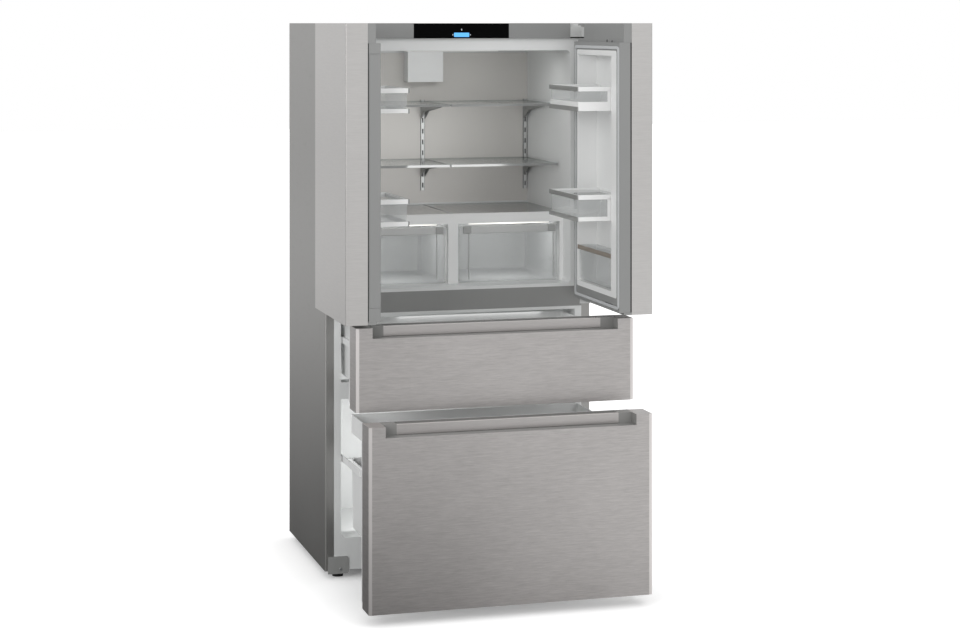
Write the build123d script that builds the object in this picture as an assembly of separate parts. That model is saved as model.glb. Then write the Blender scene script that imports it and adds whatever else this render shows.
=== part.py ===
from build123d import *
import math
import os

# A free-standing French-door refrigerator with two freezer drawers, in millimetres,
# with +X to the right, +Y to the back and +Z up, and z = 0 on the floor.
# At rest both doors stand open by a right angle and both drawers are pulled out.
# Everything is first drawn shut, with y = 0 on the cabinet's front flange and x = 0 in its middle.
# Doors and drawers are then brought to their place at rest, and the whole object is moved
# so that its box has its middle at y = 0.

# Cabinet
cabinet_width = 910.0
cabinet_height = 1810.0
cabinet_depth = 600.0
ground_clearance = 24.0
sheet = 1.0
cabinet_corner_radius = 5.0
flange_width = 30.0
base_sheet = 2.0
half_width = cabinet_width / 2
inner_half = half_width - sheet
flange_half = half_width - flange_width

# Heights of the freezer, the lower of the two compartments
freezer_floor_z = 130.0
freezer_ceiling_z = 850.0
step_z = 300.0
rail_bottom_z = 583.0
rail_height = 54.0
rail_depth = 60.0
rail_top_z = rail_bottom_z + rail_height

# Linings of the two compartments
liner_wall = 2.0
liner_corner_radius = 14.0
freezer_corner_radius = 20.0
freezer_side_foam = 53.0
freezer_rear_foam = 100.0
fridge_side_foam = 68.0
fridge_rear_foam = 108.0
fridge_top_foam = 91.0
compartment_gap = 88.0
freezer_half_width = half_width - freezer_side_foam
freezer_depth = cabinet_depth - freezer_rear_foam
fridge_half_width = half_width - fridge_side_foam
fridge_floor_z = freezer_ceiling_z + compartment_gap
fridge_ceiling_z = cabinet_height - fridge_top_foam
fridge_depth = cabinet_depth - fridge_rear_foam

# Front of the cabinet
fascia_height = 50.0
fascia_front = 12.0
fascia_back = 40.0
fascia_wall = 2.5
display_left = -160.0
display_right = 167.0
display_thickness = 2.0
divider_from_freezer = 10.0
divider_from_fridge = 11.0
fascia_bottom_z = cabinet_height - fascia_height
divider_bottom_z = freezer_ceiling_z + divider_from_freezer
divider_top_z = fridge_floor_z - divider_from_fridge

# Machine compartment at the rear bottom
machine_depth = 144.0
machine_below_step = 38.0
machine_foam = 31.0
machine_plate = 1.5
louvre_side = 80.0
louvre_bridge = 40.0
louvre_height = 6.0
louvre_pitch = 18.0
louvre_rows = 8
louvre_columns = 5
inlet_from_side = 125.0
inlet_z = 62.0
inlet_width = 50.0
inlet_height = 30.0
inlet_depth = 24.0
inlet_wall = 3.0
inlet_pin = 4.0
compressor_from_side = 225.0
compressor_radius = 62.0
compressor_height = 150.0
compressor_plate = 4.0
condenser_left = 0.0
condenser_width = 240.0
condenser_height = 130.0
condenser_depth = 90.0
fin_thickness = 1.0
fin_pitch = 8.0
tube_radius = 4.0
machine_front = cabinet_depth - machine_depth
machine_top = step_z - machine_below_step
machine_middle_y = (machine_front + cabinet_depth) / 2
step_depth = machine_front - machine_foam
louvre_column_pitch = (cabinet_width - 2 * louvre_side) / louvre_columns
louvre_length = louvre_column_pitch - louvre_bridge
inlet_x = half_width - inlet_from_side
compressor_x = compressor_from_side - half_width

# Cooling of the freezer, behind a cover on its rear wall
cooling_depth = 60.0
cover_thickness = 3.0
evaporator_side_room = 122.0
evaporator_above_step = 30.0
evaporator_height = 170.0
evaporator_depth = 40.0
fan_below_ceiling = 150.0
fan_radius = 58.0
fan_clearance = 3.0
fan_blades = 7
fan_hub_radius = 18.0
fan_hub_length = 16.0
fan_shaft_radius = 2.5
fan_blade_thickness = 2.0
fan_blade_pitch = 35.0
motor_radius = 22.0
motor_length = 24.0
motor_arm = 8.0
running_clearance = 0.05
cover_front = freezer_depth - cooling_depth
evaporator_half_width = freezer_half_width - evaporator_side_room
evaporator_bottom_z = step_z + evaporator_above_step
fan_z = freezer_ceiling_z - fan_below_ceiling
motor_front = cover_front + cover_thickness + fan_hub_length / 2

# Crispers and the frame that holds them
frame_front = 80.0
frame_thickness = 14.0
frame_height = 233.0
frame_rail = 33.0
frame_post = 35.0
frame_side = 11.0
partition = 10.0
ledge_height = 8.0
crisper_cover = 3.0
crisper_side_gap = 3.0
crisper_front_gap = 6.0
crisper_back_gap = 22.0
crisper_top_gap = 9.0
crisper_wall = 3.0
crisper_lip_height = 25.0
crisper_lip_depth = 9.0
crisper_lip_ends = 14.0
glide_gap = 0.3
frame_top_z = fridge_floor_z + frame_height
frame_rail_bottom_z = frame_top_z - frame_rail
frame_mouth_x = (frame_post / 2, fridge_half_width - frame_side)

# Interior of the refrigerator, with the shelves' heights as shares of the room over the crispers
wall_panel = 2.0
track_from_side = 9.0
track_width = 12.0
track_depth = 4.0
track_over_shelf = 4.0
track_under_shelf = 113.0
slot_pitch = 38.0
slot_length = 17.0
slot_width = 5.0
shelf_shares = {"upper": 365 / 548, "lower": 162 / 548}
shelf_front = 120.0
shelf_glass = 5.0
shelf_trim_depth = 9.0
shelf_trim_height = 8.0
shelf_trim_rise = 1.0
shelf_middle_gap = 6.0
shelf_side_gap = 9.0
shelf_back_gap = 5.0
bracket_thickness = 3.0
bracket_reach = 236.0
bracket_tip_height = 9.0
bracket_root_height = 58.0
bracket_from_shelf_end = 4.0
filter_x = -4.0
filter_width = 127.0
filter_height = 115.0
filter_depth = 58.0
filter_wall = 2.5
lamp_thickness = 4.0
lamp_length = 280.0
lamp_depth = 9.0
ceiling_lamp_width = 320.0
ceiling_lamp_depth = 34.0
ceiling_lamp_y = 90.0
panel_face = fridge_depth - wall_panel
shelf_room = fridge_ceiling_z - frame_top_z
shelf_tops = {name: frame_top_z + share * shelf_room for name, share in shelf_shares.items()}
shelf_inner_x = shelf_middle_gap / 2
shelf_outer_x = fridge_half_width - shelf_side_gap
track_half_spread = fridge_half_width - track_from_side
track_bottom_z = shelf_tops["lower"] - track_under_shelf
track_top_z = shelf_tops["upper"] + track_over_shelf

# Doors
door_front = 115.0
door_gap = 1.5
door_below_floor = 48.0
door_skin_stop = 45.5
door_skin_return = 9.0
door_edge_radius = 3.0
door_inner = 5.0
door_frame_depth = 37.0
door_frame_inset = 2.0
door_frame_rise = 7.0
door_frame_drop = 61.0
door_cap = 8.0
door_cap_inner = 20.0
door_cap_wall = 4.0
pivot_from_side = 18.0
pivot_y = -56.0
door_opened = 90.0
liner_hinge_side = 32.0
liner_free_side = 31.0
liner_over_floor = 1.0
liner_drop = 87.0
pocket_depth = 68.0
pocket_hinge_border = 6.0
pocket_free_border = 52.0
pocket_end_border = 17.0
pocket_corner_radius = 4.0
door_liner_wall = 2.5
door_liner_radius = 8.0
door_bottom_z = fridge_floor_z - door_below_floor
door_frame_bottom_z = door_bottom_z + door_frame_rise
door_frame_top_z = cabinet_height - door_frame_drop
door_skin_back = -door_skin_stop
door_x = (-half_width, -door_gap)
pivot_x = pivot_from_side - half_width
liner_bottom_z = fridge_floor_z + liner_over_floor
liner_top_z = cabinet_height - liner_drop
liner_back = -door_inner - pocket_depth - door_liner_wall
pocket_x = (door_x[0] + liner_hinge_side + pocket_hinge_border, -liner_free_side - pocket_free_border)
pocket_z = (liner_bottom_z + pocket_end_border, liner_top_z - pocket_end_border)

# Hinges of the doors
hinge_pin_radius = 5.0
hinge_corner_width = 43.0
hinge_arm_rise = 4.0
hinge_arm_height = 34.0
hinge_arm_width = 30.0
hinge_slot_gap = 4.0
hinge_slot_width = 62.0
hinge_slot_front = 88.0
hinge_block = 28.0
hinge_pin_top_length = 22.0
hinge_corner_gap = 0.5
hinge_plate_drop = 11.0
hinge_plate_thickness = 5.0
hinge_plate_width = 36.0
hinge_boss_radius = 9.0
hinge_pin_bottom_length = 24.0
hinge_foot_height = 12.0
hinge_foot_thickness = 3.0
fascia_half_width = flange_half - hinge_corner_width
hinge_arm_bottom_z = fascia_bottom_z + hinge_arm_rise
hinge_arm_top_z = hinge_arm_bottom_z + hinge_arm_height
hinge_plate_z = door_bottom_z - hinge_plate_drop
hinge_slot_x = (door_x[0], door_x[0] + hinge_slot_width)
hinge_slot_z = (hinge_arm_bottom_z - hinge_slot_gap, hinge_arm_top_z + hinge_slot_gap)

# Gaskets
gasket_width = 10.0
gasket_gap = 0.4
gasket_rise = 16.0
gasket_drop = 73.0
gasket_hinge_side = 20.0
gasket_free_side_left = 32.0
gasket_free_side_right = 3.5
gasket_bottom_z = door_bottom_z + gasket_rise
gasket_top_z = cabinet_height - gasket_drop

# Turning mullion on the left door
mullion_pivot_x = -27.0
mullion_pivot_y = -4.0
mullion_width = 39.0
mullion_thickness = 18.0
mullion_offset = 3.8
mullion_edge_radius = 1.5
mullion_floor_gap = 3.0
mullion_ceiling_gap = 3.0
mullion_lug = 7.0
mullion_lug_height = 8.0
mullion_end_gap = 0.5
mullion_pin_radius = 2.2
mullion_pin_length = 6.0
mullion_web = 1.5
mullion_bottom_z = fridge_floor_z + mullion_floor_gap
mullion_top_z = fridge_ceiling_z - mullion_ceiling_gap

# Door bins, with how far the two upper ones stand out from the door's inner face
upper_bin_drop = 193.0
upper_bin_height = 78.0
middle_bin_rise = 9.0
middle_bin_height = 84.0
lower_bin_rise = 2.6
lower_bin_height = 116.0
bin_reach = 112.0
bin_wall = 2.5
bin_side_gap = 9.0
bin_free_gap = 3.0
bin_pocket_gap = 0.3
bin_trim_height = 14.0
bin_trim_thickness = 3.0
upper_bin_z = liner_top_z - upper_bin_drop
middle_bin_z = frame_top_z + middle_bin_rise
lower_bin_z = pocket_z[0] + lower_bin_rise

# Freezer drawers
drawer_side_gap = 4.0
drawer_skin_stop = 27.0
drawer_bevel_width = 10.0
drawer_bevel_depth = 3.0
upper_drawer_over_rail = 23.0
upper_drawer_over_ceiling = 23.0
upper_drawer_pulled = 323.0
lower_drawer_bottom_z = 37.5
lower_drawer_over_rail = 16.0
lower_drawer_pulled = 495.0
plate_side_gap = 3.0
plate_margin = 15.0
plate_wall = 2.5
plate_front = 5.4
plate_seat = 13.0
gasket_side_gap = 26.0
gasket_margin = 8.0
lower_gasket_rise = 38.5
lower_gasket_drop = 4.0
grip_notch_side = 52.0
grip_cheek = 44.0
grip_notch_height = 33.0
grip_set_back = 42.0
grip_thickness = 12.0
grip_edge_radius = 2.0
finger_depth = 50.0
recess_wall = 3.0
recess_gap = 4.0
runner_room = 14.0
box_back_gap = 20.0
box_wall = 2.5
box_step = 4.0
upper_box_over_rail = 15.0
upper_box_under_ceiling = 18.0
lower_box_over_floor = 52.0
lower_box_height = 222.0
box_step_under = 4.0
tray_side_gap = 4.0
tray_under_rail = 37.0
tray_height = 60.0
tray_leg = 30.0
tray_front_leg_y = 30.0
tray_rear_leg_y = 210.0
runner_height = 20.0
runner_start = 6.0
runner_back_gap = 14.0
runner_fixed = 5.6
runner_middle = 3.6
runner_moving = 3.6
runner_gap = 0.4
upper_runner_drop = 67.0
lower_runner_drop = 27.0
drawer_half_width = half_width - drawer_side_gap
drawer_back = -drawer_skin_stop
upper_drawer_z = (rail_top_z - upper_drawer_over_rail, freezer_ceiling_z + upper_drawer_over_ceiling)
lower_drawer_z = (lower_drawer_bottom_z, rail_bottom_z + lower_drawer_over_rail)
upper_gasket_z = (upper_drawer_z[0] + gasket_margin, upper_drawer_z[1] - gasket_margin)
lower_gasket_z = (lower_drawer_z[0] + lower_gasket_rise, lower_drawer_z[1] - lower_gasket_drop)
plate_half_width = drawer_half_width - plate_side_gap
drawer_gasket_half_width = plate_half_width - gasket_side_gap
grip_notch_half_width = drawer_half_width - grip_notch_side
grip_half_width = grip_notch_half_width - grip_cheek
recess_back = drawer_back - recess_gap
box_half_width = freezer_half_width - runner_room
box_back = cover_front - box_back_gap
upper_box_z = (rail_top_z + upper_box_over_rail, freezer_ceiling_z - upper_box_under_ceiling)
lower_box_bottom_z = freezer_floor_z + lower_box_over_floor
lower_box_top_z = lower_box_bottom_z + lower_box_height
lower_box_step_z = step_z - box_step_under
tray_half_width = box_half_width - tray_side_gap
tray_top_z = rail_bottom_z - tray_under_rail
tray_bottom_z = tray_top_z - tray_height
runner_length = cover_front - runner_back_gap - runner_start
upper_runner_z = upper_box_z[1] - upper_runner_drop
lower_runner_z = lower_box_top_z - lower_runner_drop
moving_outer = box_half_width + runner_moving
middle_outer = moving_outer + runner_gap + runner_middle

# Feet and rollers
foot_from_side = 50.0
foot_y = 36.0
foot_radius = 18.0
foot_height = 12.0
foot_stem_radius = 6.0
corner_plate_from_side = 10.0
corner_plate_width = 68.0
corner_plate_bottom_z = 15.0
corner_plate_height = 56.0
corner_plate_thickness = 4.0
corner_plate_radius = 8.0
roller_from_side = 75.0
roller_from_back = 40.0
roller_radius = 15.0
roller_width = 20.0
roller_axle_radius = 4.0
roller_ear = 3.0
roller_ear_gap = 3.0
foot_x = half_width - foot_from_side
corner_plate_outer = half_width - corner_plate_from_side
corner_plate_inner = corner_plate_outer - corner_plate_width
corner_plate_top_z = corner_plate_bottom_z + corner_plate_height
roller_x = half_width - roller_from_side
roller_y = cabinet_depth - roller_from_back

# Middle of the whole object's box, front to back
front_reach = door_front + max(upper_drawer_pulled, lower_drawer_pulled)
centre_y = (cabinet_depth - front_reach) / 2


def block(x, y, z):
    """A box between two limits along each axis."""
    size = [abs(b - a) for a, b in (x, y, z)]
    middle = [(a + b) / 2 for a, b in (x, y, z)]
    return Pos(*middle) * Box(*size)


def rounded_block(x, y, z, radius, axis):
    """A box whose four edges along one axis are rounded."""
    body = block(x, y, z)
    return fillet(body.edges().filter_by(axis), radius)


def rod(start, end, radius):
    """A round bar from one point to another along X, Y or Z."""
    line = Line(start, end)
    return sweep(Plane(origin=line @ 0, z_dir=line % 0) * Circle(radius), line)


def mirrored(shape):
    """The same piece on the other side of the object's middle plane."""
    return mirror(shape, about=Plane.YZ)


def both_sides(shape):
    """A piece and its mirror image, as two solids."""
    return [shape, mirrored(shape)]


def open_tray(x, y, z, wall, open_side):
    """A box of one wall thickness, open on one side: +Y, -Y or +Z."""
    (x0, x1), (y0, y1), (z0, z1) = x, y, z
    inside_y = [y0 + wall, y1 - wall]
    inside_z = [z0 + wall, z1 - wall]
    if open_side == "+Y":
        inside_y[1] = y1 + wall
    if open_side == "-Y":
        inside_y[0] = y0 - wall
    if open_side == "+Z":
        inside_z[1] = z1 + wall
    return block(x, y, z) - block((x0 + wall, x1 - wall), inside_y, inside_z)


def ring(x, y, z, width):
    """A flat rectangular ring in the XZ plane."""
    (x0, x1), (z0, z1) = x, z
    return block(x, y, z) - block((x0 + width, x1 - width), y, (z0 + width, z1 - width))


def door_at_rest(shape, side):
    """Turns a left door's piece, drawn shut, about its pivot, and mirrors it for the right."""
    turned = shape.rotate(Axis((pivot_x, pivot_y, 0), (0, 0, 1)), -door_opened)
    return turned if side == "left" else mirrored(turned)


def save(name, shape):
    """Moves a node from the drawing frame to the object's own and writes it."""
    solids = []
    for piece in shape if isinstance(shape, list) else [shape]:
        solids += [Pos(0, -centre_y, 0) * solid for solid in piece.solids()]
    whole = solids[0] if len(solids) == 1 else Compound(solids)
    whole.label = name
    export_step(whole, os.path.join("parts", name + ".step"))


# Casing of the cabinet

def cabinet_shell():
    outside = block((-half_width, half_width), (0, cabinet_depth), (ground_clearance, cabinet_height))
    front_edges = outside.edges().filter_by(Axis.Z).group_by(Axis.Y)[0]
    outside = fillet(front_edges, cabinet_corner_radius)
    inside = block(
        (-inner_half, inner_half),
        (sheet, cabinet_depth + sheet),
        (ground_clearance - sheet, cabinet_height - sheet),
    )
    front_edges = inside.edges().filter_by(Axis.Z).group_by(Axis.Y)[0]
    inside = fillet(front_edges, cabinet_corner_radius - sheet)
    opening = block(
        (-flange_half, flange_half), (-sheet, 2 * sheet), (ground_clearance - sheet, cabinet_height - sheet)
    )
    return outside - inside - opening


def back_panel():
    return block(
        (-inner_half, inner_half),
        (cabinet_depth - sheet, cabinet_depth),
        (machine_top, cabinet_height - sheet),
    )


def fridge_cavity(grown):
    """The refrigerator's room, or with its lining's thickness the place of that lining."""
    return rounded_block(
        (-fridge_half_width - grown, fridge_half_width + grown),
        (-liner_wall, fridge_depth + grown),
        (fridge_floor_z - grown, fridge_ceiling_z + grown),
        liner_corner_radius + grown,
        Axis.Y,
    )


def freezer_cavity(grown):
    """Deep above the machine compartment, and shallower in front of it."""
    x = (-freezer_half_width - grown, freezer_half_width + grown)
    upper = block(x, (-liner_wall, freezer_depth + grown), (step_z - grown, freezer_ceiling_z + grown))
    lower = block(x, (-liner_wall, step_depth + grown), (freezer_floor_z - grown, step_z + grown))
    floor_edges = lower.edges().filter_by(Axis.Y).group_by(Axis.Z)[0]
    return upper + fillet(floor_edges, freezer_corner_radius + grown)


def front_land(bottom_z, top_z):
    """The part of a liner that lies against the foam on the cabinet's front."""
    return block((-flange_half, flange_half), (0, liner_wall), (bottom_z, top_z))


def fridge_liner():
    shell = fridge_cavity(liner_wall) - block(
        (-half_width, half_width), (-2 * liner_wall, 0), (0, cabinet_height)
    )
    return shell + front_land(divider_top_z, fascia_bottom_z) - fridge_cavity(0)


def freezer_liner():
    shell = freezer_cavity(liner_wall) - block(
        (-half_width, half_width), (-2 * liner_wall, 0), (0, cabinet_height)
    )
    lining = shell + front_land(ground_clearance + base_sheet, divider_bottom_z) - freezer_cavity(0)
    rail = block((-freezer_half_width, freezer_half_width), (0, rail_depth), (rail_bottom_z, rail_top_z))
    return lining + rail


def cabinet_insulation():
    foam = block(
        (-inner_half, inner_half),
        (liner_wall, cabinet_depth - sheet),
        (ground_clearance + base_sheet, cabinet_height - sheet),
    )
    foam -= fridge_cavity(liner_wall)
    foam -= freezer_cavity(liner_wall)
    foam -= block(
        (-inner_half, inner_half), (machine_front, cabinet_depth), (ground_clearance, machine_top)
    )
    foam -= block(
        (-flange_half, flange_half), (0, fascia_back), (fascia_bottom_z, cabinet_height)
    )
    corner = cabinet_corner_radius
    for x0, x1 in ((-half_width, -half_width + corner), (half_width - corner, half_width)):
        foam -= block((x0, x1), (0, corner), (0, cabinet_height))
    return foam


def divider_front():
    return block((-flange_half, flange_half), (0, liner_wall), (divider_bottom_z, divider_top_z))


# Control fascia over the doors' opening

def fascia():
    body = open_tray(
        (-fascia_half_width, fascia_half_width),
        (-fascia_front, fascia_back),
        (fascia_bottom_z, cabinet_height - sheet),
        fascia_wall,
        "+Y",
    )
    window = block(
        (display_left, display_right),
        (-fascia_front, display_thickness - fascia_front),
        (fascia_bottom_z, cabinet_height - sheet),
    )
    return body - window


def display_panel():
    return block(
        (display_left, display_right),
        (-fascia_front, display_thickness - fascia_front),
        (fascia_bottom_z, cabinet_height - sheet),
    )


# Hinges of the doors, fixed to the cabinet

def top_hinge():
    """A block in the cabinet's top corner, with an arm that carries the door's top pin."""
    x = (pivot_x - hinge_arm_width / 2, pivot_x + hinge_arm_width / 2)
    arm = block(x, (pivot_y, 0), (hinge_arm_bottom_z, hinge_arm_top_z))
    inner_x = -fascia_half_width - hinge_corner_gap
    arm += block((x[0], inner_x), (-fascia_front, 0), (hinge_arm_bottom_z, hinge_arm_top_z))
    arm += block(
        (hinge_corner_gap - flange_half, inner_x),
        (0, fascia_back),
        (fascia_bottom_z + hinge_corner_gap, cabinet_height - sheet),
    )
    height = hinge_arm_top_z - hinge_arm_bottom_z
    nose = Pos(pivot_x, pivot_y, hinge_arm_bottom_z + height / 2) * Cylinder(hinge_arm_width / 2, height)
    pin = rod(
        (pivot_x, pivot_y, hinge_arm_bottom_z),
        (pivot_x, pivot_y, hinge_arm_bottom_z - hinge_pin_top_length),
        hinge_pin_radius,
    )
    return arm + nose + pin


def bottom_hinge():
    """A plate under the door, with the door's lower pin, on a foot against the front flange."""
    top_z = hinge_plate_z + hinge_plate_thickness
    x = (pivot_x - hinge_plate_width / 2, pivot_x + hinge_plate_width / 2)
    plate = block(x, (pivot_y, 0), (hinge_plate_z, top_z))
    nose = Pos(pivot_x, pivot_y, (hinge_plate_z + top_z) / 2) * Cylinder(
        hinge_plate_width / 2, hinge_plate_thickness
    )
    foot = block(x, (-hinge_foot_thickness, 0), (hinge_plate_z - hinge_foot_height, top_z))
    boss = rod((pivot_x, pivot_y, top_z), (pivot_x, pivot_y, door_bottom_z - glide_gap), hinge_boss_radius)
    pin = rod(
        (pivot_x, pivot_y, top_z),
        (pivot_x, pivot_y, top_z + hinge_pin_bottom_length),
        hinge_pin_radius,
    )
    return plate + nose + foot + boss + pin


# Interior of the refrigerator

def rear_wall_panel():
    return block(
        (-fridge_half_width, fridge_half_width),
        (fridge_depth - wall_panel, fridge_depth),
        (frame_top_z, fridge_ceiling_z - liner_corner_radius),
    )


def shelf_track(x):
    track = block(
        (x - track_width / 2, x + track_width / 2),
        (panel_face - track_depth, panel_face),
        (track_bottom_z, track_top_z),
    )
    slots = int((track_top_z - track_bottom_z) // slot_pitch)
    for n in range(slots):
        z = track_bottom_z + slot_pitch * (n + 0.5)
        track -= block(
            (x - slot_width / 2, x + slot_width / 2),
            (panel_face - 2 * track_depth, panel_face),
            (z - slot_length / 2, z + slot_length / 2),
        )
    return track


def shelf_tracks():
    return [shelf_track(0), *both_sides(shelf_track(track_half_spread))]


def shelf_bracket(x, top_z):
    """A cantilever arm that hooks on a track and tapers to its tip under the glass."""
    root_y = panel_face - track_depth
    tip_y = root_y - bracket_reach
    under = top_z - shelf_glass
    bend = root_y - bracket_reach / 4
    outline = Polyline(
        (root_y, under),
        (tip_y, under),
        (tip_y, under - bracket_tip_height),
        (bend, under - bracket_root_height / 2),
        (root_y - track_depth, under - bracket_root_height),
        (root_y, under - bracket_root_height),
        close=True,
    )
    face = Plane.YZ.offset(x - bracket_thickness / 2) * make_face(outline)
    return extrude(face, bracket_thickness, dir=(1, 0, 0))


def shelf_brackets():
    arms = []
    for top_z in shelf_tops.values():
        inner = shelf_inner_x + bracket_from_shelf_end
        outer = track_half_spread - bracket_from_shelf_end
        for x in (inner, outer):
            arms += both_sides(shelf_bracket(x, top_z))
    return arms


def shelf_glass_plates():
    plates = []
    for top_z in shelf_tops.values():
        plate = block(
            (shelf_inner_x, shelf_outer_x),
            (shelf_front, panel_face - shelf_back_gap),
            (top_z - shelf_glass, top_z),
        )
        plates += both_sides(plate)
    return plates


def shelf_trims():
    trims = []
    for top_z in shelf_tops.values():
        trim = block(
            (shelf_inner_x, shelf_outer_x),
            (shelf_front - shelf_trim_depth, shelf_front),
            (top_z + shelf_trim_rise - shelf_trim_height, top_z + shelf_trim_rise),
        )
        trims += both_sides(trim)
    return trims


def filter_housing():
    return open_tray(
        (filter_x - filter_width / 2, filter_x + filter_width / 2),
        (panel_face - filter_depth, panel_face),
        (fridge_ceiling_z - filter_height, fridge_ceiling_z),
        filter_wall,
        "+Y",
    )


# Frame, covers and boxes of the two crispers

def crisper_frame():
    front = block(
        (-fridge_half_width, fridge_half_width),
        (frame_front, frame_front + frame_thickness),
        (fridge_floor_z, frame_top_z),
    )
    mouth = block(
        frame_mouth_x, (frame_front, frame_front + frame_thickness), (fridge_floor_z, frame_rail_bottom_z)
    )
    front -= mouth
    front -= mirrored(mouth)
    cover_z = frame_top_z - crisper_cover
    wall = block(
        (-partition / 2, partition / 2), (frame_front, panel_face), (fridge_floor_z, cover_z)
    )
    ledge = block(
        (fridge_half_width - frame_side, fridge_half_width),
        (frame_front, panel_face),
        (cover_z - ledge_height, cover_z),
    )
    return (front + wall + ledge + mirrored(ledge)) & fridge_cavity(0)


def crisper_covers():
    cover = block(
        (shelf_inner_x, fridge_half_width),
        (frame_front + frame_thickness, panel_face),
        (frame_top_z - crisper_cover, frame_top_z),
    )
    return both_sides(cover)


def light_covers():
    middle = (frame_mouth_x[0] + frame_mouth_x[1]) / 2
    strip = block(
        (middle - lamp_length / 2, middle + lamp_length / 2),
        (frame_front + frame_thickness - lamp_depth, frame_front + frame_thickness),
        (frame_rail_bottom_z - lamp_thickness, frame_rail_bottom_z),
    )
    ceiling = block(
        (-ceiling_lamp_width / 2, ceiling_lamp_width / 2),
        (ceiling_lamp_y, ceiling_lamp_y + ceiling_lamp_depth),
        (fridge_ceiling_z - lamp_thickness, fridge_ceiling_z),
    )
    return both_sides(strip) + [ceiling]


def crisper_box():
    """The right-hand crisper: a clear box with a lip along the top of its front."""
    x = (frame_mouth_x[0] + crisper_side_gap, frame_mouth_x[1] - crisper_side_gap)
    front = frame_front + crisper_front_gap
    top_z = frame_rail_bottom_z - crisper_top_gap
    box = open_tray(
        x, (front, fridge_depth - crisper_back_gap), (fridge_floor_z + glide_gap, top_z), crisper_wall, "+Z"
    )
    lip = block(
        (x[0] + crisper_lip_ends, x[1] - crisper_lip_ends),
        (front - crisper_lip_depth, front),
        (top_z - crisper_lip_height, top_z),
    )
    return box + lip


# Cooling

def finned_block(x, y, z):
    """A heat exchanger: upright fins along X on two rows of straight tubes."""
    (x0, x1), (y0, y1), (z0, z1) = x, y, z
    fins = int((x1 - x0) // fin_pitch)
    solid = None
    for n in range(fins):
        left = x0 + n * fin_pitch
        fin = block((left, left + fin_thickness), y, z)
        solid = fin if solid is None else solid + fin
    last = x0 + (fins - 1) * fin_pitch + fin_thickness
    for height in (0.25, 0.75):
        for depth in (0.3, 0.7):
            y_tube = y0 + depth * (y1 - y0)
            z_tube = z0 + height * (z1 - z0)
            solid += rod((x0, y_tube, z_tube), (last, y_tube, z_tube), tube_radius)
    return solid


def evaporator():
    return finned_block(
        (-evaporator_half_width, evaporator_half_width),
        (freezer_depth - evaporator_depth, freezer_depth),
        (evaporator_bottom_z, evaporator_bottom_z + evaporator_height),
    )


def evaporator_cover():
    plate = block(
        (-freezer_half_width, freezer_half_width),
        (cover_front, cover_front + cover_thickness),
        (step_z, freezer_ceiling_z),
    )
    middle = cover_front + cover_thickness / 2
    hole = Pos(0, middle, fan_z) * Rot(90, 0, 0) * Cylinder(fan_radius + fan_clearance, 2 * cover_thickness)
    return plate - hole


def fan_motor():
    """The motor behind the rotor, its shaft, and three arms to the cover."""
    body = rod((0, motor_front, fan_z), (0, motor_front + motor_length, fan_z), motor_radius)
    shaft = rod(
        (0, motor_front - fan_hub_length, fan_z), (0, motor_front, fan_z), fan_shaft_radius
    )
    motor = body + shaft
    arm_end = fan_radius + fan_clearance + 2 * motor_arm
    arm_y = (motor_front + motor_arm, motor_front + 2 * motor_arm)
    for turn in (90, 210, 330):
        arm = block((0, arm_end), arm_y, (fan_z - motor_arm / 2, fan_z + motor_arm / 2))
        post = block(
            (arm_end - motor_arm, arm_end),
            (cover_front + cover_thickness, arm_y[1]),
            (fan_z - motor_arm / 2, fan_z + motor_arm / 2),
        )
        motor += (arm + post).rotate(Axis((0, 0, fan_z), (0, 1, 0)), turn)
    return motor


def fan_rotor():
    """A hub with pitched blades, on the motor's shaft."""
    back = motor_front - glide_gap
    hub = rod((0, back - fan_hub_length, fan_z), (0, back, fan_z), fan_hub_radius)
    middle = back - fan_hub_length / 2
    chord = fan_hub_length / math.cos(math.radians(fan_blade_pitch))
    root = fan_hub_radius - fan_blade_thickness
    blade = Pos((root + fan_radius) / 2, middle, fan_z) * Rot(fan_blade_pitch, 0, 0) * Box(
        fan_radius - root, fan_blade_thickness, chord
    )
    rotor = hub
    for n in range(fan_blades):
        rotor += blade.rotate(Axis((0, 0, fan_z), (0, 1, 0)), 360 * n / fan_blades)
    rotor &= rod((0, back - fan_hub_length, fan_z), (0, back, fan_z), fan_radius)
    bore = rod(
        (0, back - 2 * fan_hub_length, fan_z),
        (0, back + fan_hub_length, fan_z),
        fan_shaft_radius + running_clearance,
    )
    return rotor - bore


# Machine compartment, base and feet

def compressor():
    y = machine_middle_y
    foot_z = ground_clearance + base_sheet
    foot = block(
        (compressor_x - compressor_radius, compressor_x + compressor_radius),
        (y - compressor_radius / 2, y + compressor_radius / 2),
        (foot_z, foot_z + compressor_plate),
    )
    shell = Pos(compressor_x, y, foot_z + compressor_plate + compressor_height / 2) * Cylinder(
        compressor_radius, compressor_height
    )
    shell = fillet(shell.edges().filter_by(GeomType.CIRCLE), compressor_radius * 0.6)
    return foot + shell


def condenser():
    y = machine_middle_y
    z = ground_clearance + base_sheet
    return finned_block(
        (condenser_left, condenser_left + condenser_width),
        (y - condenser_depth / 2, y + condenser_depth / 2),
        (z, z + condenser_height),
    )


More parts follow.
